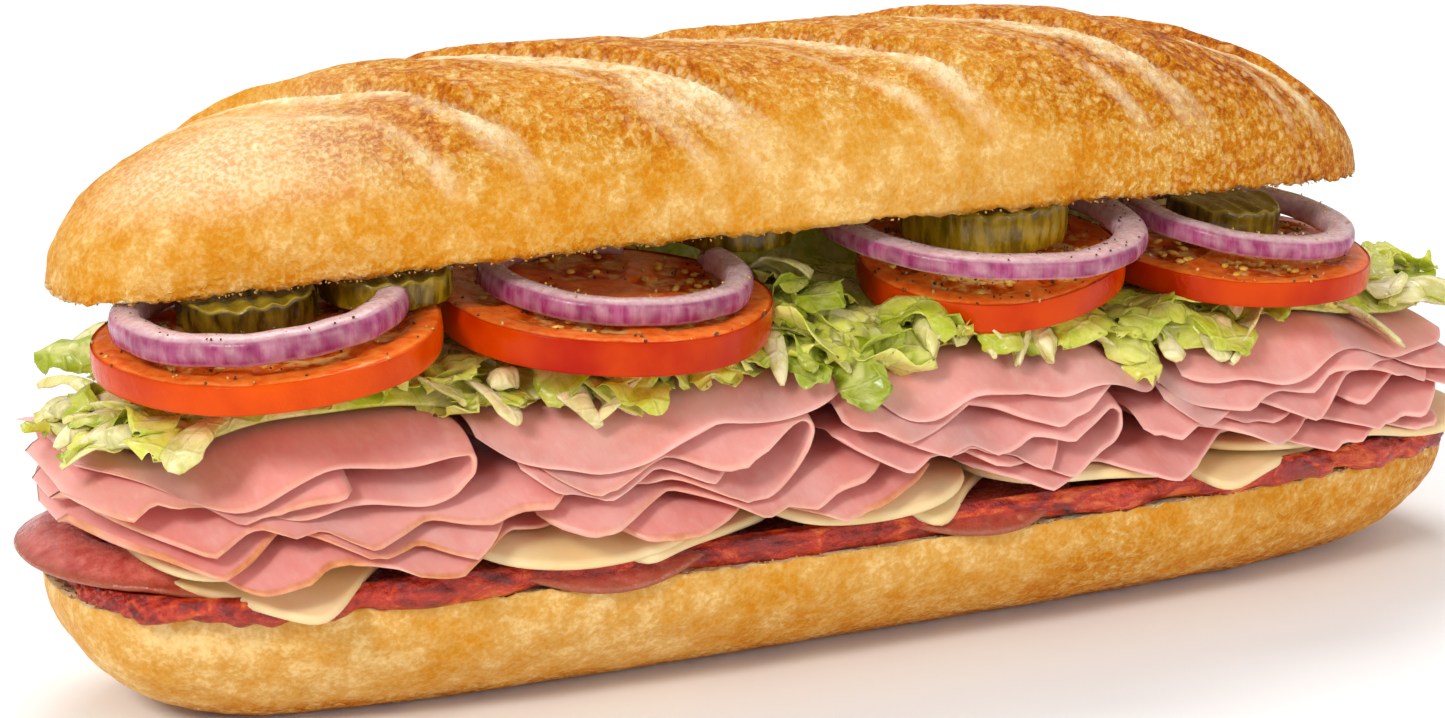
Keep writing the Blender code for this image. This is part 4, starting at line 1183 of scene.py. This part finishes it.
def tomato_floor(x, y, margin):
    """The lowest underside of the tomato slices over a point, or nothing where none is near."""
    lowest = None
    for centre, radius, thick, tilt_x, tilt_y, sag in TOMATO:
        turn = Euler((math.radians(tilt_x), math.radians(tilt_y), 0)).to_matrix()
        normal = turn @ Vector((0, 0, 1))
        foot = Vector(centre) - normal * thick
        dx, dy = x - foot.x, y - foot.y
        if math.hypot(dx, dy) > radius + margin:
            continue
        z = foot.z - (normal.x * dx + normal.y * dy) / normal.z
        z = sagged(dx, dy, z, sag)[2]
        lowest = z if lowest is None else min(lowest, z)
    return lowest


def heap_under(x, y):
    return layer_z(LETTUCE_LEVEL, x, y) + 0.0010 * (x / LETTUCE_HALF[0]) ** 6


def build_lettuce_core(look):
    """What the leaves lie on: a low heap pressed by the tomatoes and filled up to the crown at the back."""
    stations, across = 160, 46
    upper, lower, pale = [], [], []
    for i in range(stations + 1):
        s = -1 + 2 * i / stations
        x = (LETTUCE_HALF[0] - 0.006) * s
        wide = (LETTUCE_HALF[1] - 0.005) * max(1 - abs(s) ** 3.4, 0.06) ** 0.38
        top, bottom = [], []
        for j in range(across + 1):
            y = wide * (-1 + 2 * j / across)
            edge = max(abs(y / wide), abs(s) ** 4)
            under = heap_under(x, y)
            heap = 0.0016 * wobble(x, y, 0, 0.009) + 0.0009 * wobble(x, y, 1, 0.004)
            z = under + 0.0008 + 0.0050 * (1 - edge**3) + heap * (1 - edge**4)
            if y > 0.018:
                full = smooth(y, 0.018, 0.023) * clamp((1 - edge) / 0.2) * clamp((0.84 - abs(s)) / 0.1)
                z = blend(z, max(z, crown_rim_z(x) - 0.004 + heap), full)
            else:
                floor = tomato_floor(x, y, 0.012)
                if floor is not None:
                    z = min(z, floor - 0.0010)
            top.append((x, y, max(z, under + 0.0006)))
            bottom.append((x, y, under + 0.0002))
            pale.append(clamp(0.25 + 0.8 * wobble(x, y, 2, 0.008)))
        upper.append(top)
        lower.append(bottom)
    points, faces = closed_sheet(np.array(upper), np.array(lower))
    values = {"pale": pale * 2, "tone": [0.35] * len(points)}
    add_piece("lettuce_core", points, faces, [look], ["lettuce"], None, values)


def shred(draw, x, y, heading, length, width, lift, kind, roll=0.0, level=None, farthest=0.0475):
    """One shred of leaf as a closed thin sheet, lying on the filling and hanging a little over its edge.

    kind is 0 for a thick pale rib and 1 for a thin frilled blade. Returns points, faces, pale and tone."""
    along, across = 16, 7
    bend = draw.uniform(-0.7, 0.7)
    arch = draw.uniform(0.0, 0.0022)
    curl = draw.uniform(-0.0005, 0.0030) * kind
    frill = draw.uniform(0.0005, 0.0014) * kind
    waving, phase = draw.uniform(1.2, 2.6), draw.uniform(0, math.tau)
    cup = draw.uniform(-0.0015, 0.0022)
    thick = blend(0.0016, 0.00045, kind)
    tone = draw.random()
    seed = draw.uniform(0, 50)
    lopsided = draw.uniform(0.5, 1.4)
    line = []
    for k in range(along + 1):
        t = k / along
        turn = heading + bend * (t - 0.4)
        if k:
            slow = smooth(reach_at(x, y), farthest + 0.002, farthest - 0.006)
            x += math.cos(turn) * length / along * blend(0.12, 1.0, slow)
            y += math.sin(turn) * length / along * blend(0.12, 1.0, slow)
        ground = heap_under(x, y) + lift
        if level is not None:
            ground = max(ground, level - 0.9 * sunk(abs(y) - 0.026, 0.9) - 0.4 * sunk(abs(x) - 0.135, 0.9))
        ceiling = tomato_floor(x, y, 0.001)
        if ceiling is not None:
            ground = min(ground, ceiling - 0.0012)
        z = max(ground, heap_under(x, y) + 0.0002) + arch * math.sin(math.pi * t) + curl * t**3
        line.append((x, y, z))
    line = np.array(line)
    tangent = np.gradient(line, axis=0)
    tangent /= np.maximum(np.linalg.norm(tangent, axis=1, keepdims=True), 1e-9)
    upper, lower, pale = [], [], []
    for k in range(along + 1):
        t = k / along
        flat = np.cross([0, 0, 1.0], tangent[k])
        flat /= max(np.linalg.norm(flat), 1e-9)
        up = np.cross(tangent[k], flat)
        lean_by = roll + 0.3 * math.sin(3 * t + phase)
        aside = flat * math.cos(lean_by) + up * math.sin(lean_by)
        out = np.cross(tangent[k], aside)
        taper = min(1.0, (t + 0.05) * 5) ** 0.6 * min(1.0, (1.03 - t) * 2.6 * lopsided) ** 0.7
        half = width / 2 * taper * (1 + 0.22 * wobble(t * 5, seed, 0, 1.0))
        rows = ([], [])
        for j in range(across):
            v = -1 + 2 * j / (across - 1)
            ragged = 1 + 0.16 * kind * wobble(t * 12, seed + 3 * v, 0, 1.0) * (abs(v) == 1)
            centre = line[k] + aside * (v * half * ragged)
            wave = frill * v * v * math.sin(math.tau * waving * t + phase + (1.6 if v > 0 else 0))
            centre = centre + out * (cup * (1 - v * v) + wave + 0.0004 * kind * wobble(t * 8, v * 2, seed, 1.0))
            body = thick * (1 - 0.7 * v * v) * (0.35 + 0.65 * min(1.0, min(t, 1 - t) * 8)) / 2
            rows[0].append(centre + out * body)
            rows[1].append(centre - out * body)
            rib = math.exp(-((v / 0.35) ** 2)) * (1 - 0.8 * t)
            pale.append(clamp(blend(0.95 - 0.25 * t * abs(v), 0.45 * rib + 0.04, kind)))
        upper.append(rows[0])
        lower.append(rows[1])
    points, faces = closed_sheet(np.array(upper), np.array(lower))
    limit = (CAD_BOX[1][0] - 0.0002, CAD_BOX[1][1] - 0.0004 - abs(SHIFT.y))
    points[:, 0] = np.clip(points[:, 0], -limit[0], limit[0])
    points[:, 1] = np.clip(points[:, 1], -limit[1], limit[1])
    return points, faces, pale * 2, [tone] * len(points)


def build_lettuce_leaves(look):
    draw = random.Random(7)
    heap = Heap()

    def lay(*args, **more):
        points, faces, pale, tone = shred(draw, *args, **more)
        heap.add(points, faces, 0, pale=pale, tone=tone)

    for number in range(190):  # along the front, hanging out from under the tomatoes
        x = -0.150 + 0.300 * (number + draw.random()) / 190
        y = -half_width_at(x, draw.uniform(0.020, 0.034))
        heading = math.radians(-90 + draw.uniform(-75, 75))
        kind = 1.0 if draw.random() < 0.76 else draw.uniform(0.0, 0.4)
        width = draw.uniform(0.007, 0.015) if kind == 1.0 else draw.uniform(0.004, 0.0075)
        length = draw.uniform(0.012, 0.024)
        lift = draw.uniform(0.0004, 0.0042)
        farthest = draw.uniform(0.036, 0.0455) - 0.0045 * smooth(-x, 0.045, 0.075)
        lay(x, y, heading, length, width, lift, kind, draw.uniform(-0.5, 0.5), farthest=farthest)
    for number in range(46):  # round the two ends
        side = -1 if number % 2 else 1
        angle = draw.uniform(-75, 75)
        x = side * draw.uniform(0.122, 0.140) - 0.009 * (side > 0)
        y = draw.uniform(-0.028, 0.012)
        heading = math.radians(angle if side > 0 else 180 - angle)
        kind = 1.0 if draw.random() < 0.6 else draw.uniform(0.0, 0.4)
        length = draw.uniform(0.012, 0.024)
        level = draw.uniform(0.0550, 0.0600) - 0.004 * (side > 0)
        lay(x, y, heading, length, draw.uniform(0.006, 0.012), draw.uniform(0.0005, 0.006), kind, level=level)
    for number in range(110):  # the back, from the ham up to the crown
        x = -0.135 + 0.270 * (number + draw.random()) / 110
        low = heap_under(x, 0.025) + 0.002
        high = blend(crown_rim_z(x) - 0.003, low + 0.005, smooth(abs(x), 0.085, 0.115))
        y = draw.uniform(0.020, 0.027)
        heading = math.radians(90 + draw.uniform(-75, 75))
        kind = 1.0 if draw.random() < 0.7 else draw.uniform(0.0, 0.4)
        level = draw.uniform(low, high)
        width = draw.uniform(0.006, 0.012)
        length = draw.uniform(0.012, 0.022)
        lay(x, y, heading, length, width, 0.001, kind, draw.uniform(-0.9, 0.9), level=level)
    for number in range(22):  # between the second and the third tomato, where the leaves stand up
        x = draw.uniform(-0.016, -0.003)
        y = draw.uniform(-0.022, 0.012)
        heading = math.radians(draw.uniform(-150, -30))
        kind = 1.0 if draw.random() < 0.75 else 0.2
        level = draw.uniform(0.0625, 0.0710)
        width = draw.uniform(0.007, 0.012)
        length = draw.uniform(0.010, 0.017)
        lay(x, y, heading, length, width, 0.003, kind, draw.uniform(-0.8, 0.8), level=level, farthest=0.034)
    heap.make("lettuce_leaves", [look])


# ---- small things ---------------------------------------------------------------------------------
def pebble(draw, place, half, turn, jitter=0.25):
    """A small uneven rounded body: an octahedron with one more cut, pushed out of shape."""
    angles = [math.tau * k / 6 for k in range(6)]
    points = [(0, 0, 1)]
    for z, r in ((0.5, 0.8), (-0.5, 0.8)):
        points += [(r * math.cos(a), r * math.sin(a), z) for a in angles]
    points.append((0, 0, -1))
    faces = [[0, 1 + k, 1 + (k + 1) % 6] for k in range(6)]
    faces += [[1 + k, 7 + k, 7 + (k + 1) % 6, 1 + (k + 1) % 6] for k in range(6)]
    faces += [[13, 7 + (k + 1) % 6, 7 + k] for k in range(6)]
    spin = np.array(Euler(turn).to_matrix())
    made = np.array(points) * np.array(half)
    made *= 1 + np.array([[draw.uniform(-jitter, jitter)] for _ in points])
    return made @ spin.T + np.array(place), faces


def face_points(draw, table, count, low, high, chambers=False):
    """Places on the upper faces of the tomato slices, with the slice's own tilt."""
    made = []
    while len(made) < count:
        i = draw.choice(table)
        centre, radius, _, tilt_x, tilt_y, sag = TOMATO[i]
        r, angle = radius * math.sqrt(draw.uniform(low**2, high**2)), draw.uniform(0, math.tau)
        x, y = r * math.cos(angle), r * math.sin(angle)
        if chambers and chamber_share(i, radius, x, y) < 0.5:
            continue
        spot = placed([sagged(x, y, 0.0, sag)], centre, tilt_x, tilt_y)[0]
        made.append((spot, math.radians(tilt_x), math.radians(tilt_y)))
    return made


def build_seeds(look):
    draw = random.Random(11)
    heap = Heap()
    for spot, tilt_x, tilt_y in face_points(draw, (0, 1, 1, 2, 3, 3), 150, 0.30, 0.80, chambers=True):
        half = (0.0014 * draw.uniform(0.8, 1.2), 0.0009, 0.00045)
        turn = (tilt_x + draw.uniform(-0.3, 0.3), tilt_y + draw.uniform(-0.3, 0.3), draw.uniform(0, math.tau))
        heap.add(*pebble(draw, spot + np.array((0, 0, -0.0003)), half, turn, 0.12))
    heap.make("tomato_seeds", [look])


def build_pepper(dark, gold):
    """Ground pepper and dried herbs over the tomatoes and onion rings."""
    draw = random.Random(13)
    heap = Heap()
    for number, (spot, _, _) in enumerate(face_points(draw, (0, 1, 2, 2, 3), 520, 0.2, 0.985)):
        size = 0.00028 * draw.uniform(0.6, 1.7)
        turn = [draw.uniform(0, math.tau) for _ in range(3)]
        half = (size * draw.uniform(0.8, 1.6), size, size * 0.7)
        heap.add(*pebble(draw, spot + np.array((0, 0, 0.0001)), half, turn, 0.3), look=number % 3 // 2)
    for number in range(260):
        centre, radius, width, height, tilt_x, tilt_y, start, end = ONION[number % 4]
        turn = math.radians(draw.uniform(start, end))
        r = radius - width * draw.uniform(0.1, 0.9)
        spot = placed([(r * math.cos(turn), r * math.sin(turn), 0.0004)], centre, tilt_x, tilt_y)[0]
        size = 0.00018 * draw.uniform(0.6, 1.6)
        heap.add(*pebble(draw, spot, (size * 1.3, size, size), (0, 0, turn), 0.3), look=number % 2)
    heap.make("pepper_flecks", [dark, gold])


def build_crumbs(look):
    """Torn crumb along the lower edge of the crown and the upper edge of the heel."""
    draw = random.Random(17)
    heap = Heap()
    for number in range(700):
        angle = draw.uniform(0, math.tau)
        c, s = math.cos(angle), math.sin(angle)
        x = CROWN_HALF[0] * math.copysign(abs(c) ** (2 / CROWN_PLAN[0]), c)
        y = CROWN_HALF[1] * math.copysign(abs(s) ** (2 / CROWN_PLAN[1]), s)
        inward = 1 - draw.uniform(0.001, 0.018)
        px, py = x * inward + CROWN_CENTRE[0], y * inward + CROWN_CENTRE[1]
        size = 0.00019 * draw.uniform(0.5, 1.6)
        turn = [draw.uniform(0, math.tau) for _ in range(3)]
        half = (size, size * draw.uniform(0.5, 1.0), size * draw.uniform(0.8, 2.2))
        place = (px, py, crown_rim_z(px) - draw.uniform(-0.0005, 0.0001))
        heap.add(*pebble(draw, place, half, turn, 0.4))
    for number in range(900):
        angle = draw.uniform(0, math.tau)
        c, s = math.cos(angle), math.sin(angle)
        x = ROLL_LENGTH / 2 * math.copysign(abs(c) ** (2 / HEEL_PLAN[1]), c)
        y = HEEL_WIDTH / 2 * math.copysign(abs(s) ** (2 / HEEL_PLAN[1]), s)
        inward = 1 - draw.uniform(0.004, 0.02)
        x, y = x * inward, y * inward
        size = 0.00018 * draw.uniform(0.5, 1.6)
        turn = [draw.uniform(0, math.tau) for _ in range(3)]
        place = (x, y, HEEL_HEIGHT + lean(x, HEEL_HEIGHT) + draw.uniform(-0.0004, 0.0003))
        heap.add(*pebble(draw, place, (size, size * 0.8, size * draw.uniform(0.8, 1.8)), turn, 0.4))
    heap.make("torn_crumb", [look])


# ---- stage ----------------------------------------------------------------------------------------
CAMERA_TARGET = Vector((-0.0155, 0.0, 0.0523))
CAMERA_AZIMUTH = math.radians(-25.9)
CAMERA_ELEVATION = math.radians(14.6)
CAMERA_DISTANCE = 0.6655
CAMERA_LENS = 85.0
FLOOR_HALF = 3.0


def build_camera():
    back = Vector(
        (
            math.sin(CAMERA_AZIMUTH) * math.cos(CAMERA_ELEVATION),
            -math.cos(CAMERA_AZIMUTH) * math.cos(CAMERA_ELEVATION),
            math.sin(CAMERA_ELEVATION),
        )
    )
    data = bpy.data.cameras.new("camera")
    data.lens = CAMERA_LENS
    data.sensor_width = 36.0
    data.clip_start = 0.01
    made = bpy.data.objects.new("camera", data)
    made.location = CAMERA_TARGET + SHIFT + back * CAMERA_DISTANCE
    made.rotation_euler = back.to_track_quat("Z", "Y").to_euler()
    bpy.context.scene.collection.objects.link(made)
    bpy.context.scene.camera = made


def build_floor():
    k = Look("floor", Roughness=0.9)
    k.finish(k.ramp(k.noise(0.4, 2), (0.3, (0.92, 0.92, 0.92)), (0.7, (0.95, 0.95, 0.95))))
    mesh = bpy.data.meshes.new("floor")
    corners = [(-FLOOR_HALF, -FLOOR_HALF, 0), (FLOOR_HALF, -FLOOR_HALF, 0), (FLOOR_HALF, FLOOR_HALF, 0)]
    corners.append((-FLOOR_HALF, FLOOR_HALF, 0))
    mesh.from_pydata(corners, [], [(0, 1, 2, 3)])
    mesh.materials.append(k.made)
    made = bpy.data.objects.new("floor", mesh)
    bpy.context.scene.collection.objects.link(made)


def add_light(name, place, aim, size, power, colour=(1, 1, 1)):
    data = bpy.data.lights.new(name, "AREA")
    data.shape = "RECTANGLE"
    data.size, data.size_y = size
    data.energy = power
    data.color = colour
    made = bpy.data.objects.new(name, data)
    made.location = place
    made.rotation_euler = (Vector(place) - Vector(aim)).to_track_quat("Z", "Y").to_euler()
    bpy.context.scene.collection.objects.link(made)


def build_lights():
    world = bpy.data.worlds.new("studio")
    world.use_nodes = True
    world.node_tree.nodes["Background"].inputs["Color"].default_value = (1.0, 1.0, 1.0, 1)
    world.node_tree.nodes["Background"].inputs["Strength"].default_value = 0.56
    bpy.context.scene.world = world
    add_light("key", (-1.05, -0.62, 0.90), (-0.03, 0, 0.05), (0.35, 0.35), 10.8, (1.0, 0.99, 0.975))
    add_light("front_fill", (0.5, -1.1, 0.40), (0.02, 0, 0.04), (0.8, 0.5), 3.5)
    add_light("top_back", (0.1, 0.7, 1.2), (0, 0, 0.06), (0.8, 0.6), 11.5)


def main():
    build_camera()
    build_floor()
    build_lights()
    crust, crumb, leaf = crust_look(), crumb_look(), leaf_look()
    build_crown(crust, crumb)
    build_heel(crust, crumb)
    build_salami(salami_look())
    build_dressing(sauce_look())
    build_cheese(cheese_look())
    build_ham(ham_look())
    build_lettuce_core(leaf)
    build_lettuce_leaves(leaf)
    build_tomatoes(tomato_look())
    build_onions(onion_look())
    build_pickles(pickle_look())
    build_seeds(grain_look("seed", (0.84, 0.42, 0.03), (0.95, 0.68, 0.14), 0.35))
    dark = grain_look("pepper", (0.03, 0.012, 0.006), (0.20, 0.07, 0.02), 0.5)
    gold = grain_look("herb", (0.42, 0.24, 0.04), (0.80, 0.55, 0.18), 0.4)
    build_pepper(dark, gold)
    build_crumbs(grain_look("crumbs", (0.50, 0.24, 0.05), (0.72, 0.42, 0.14), 0.8))
    bpy.context.scene.view_settings.view_transform = "Standard"


main()
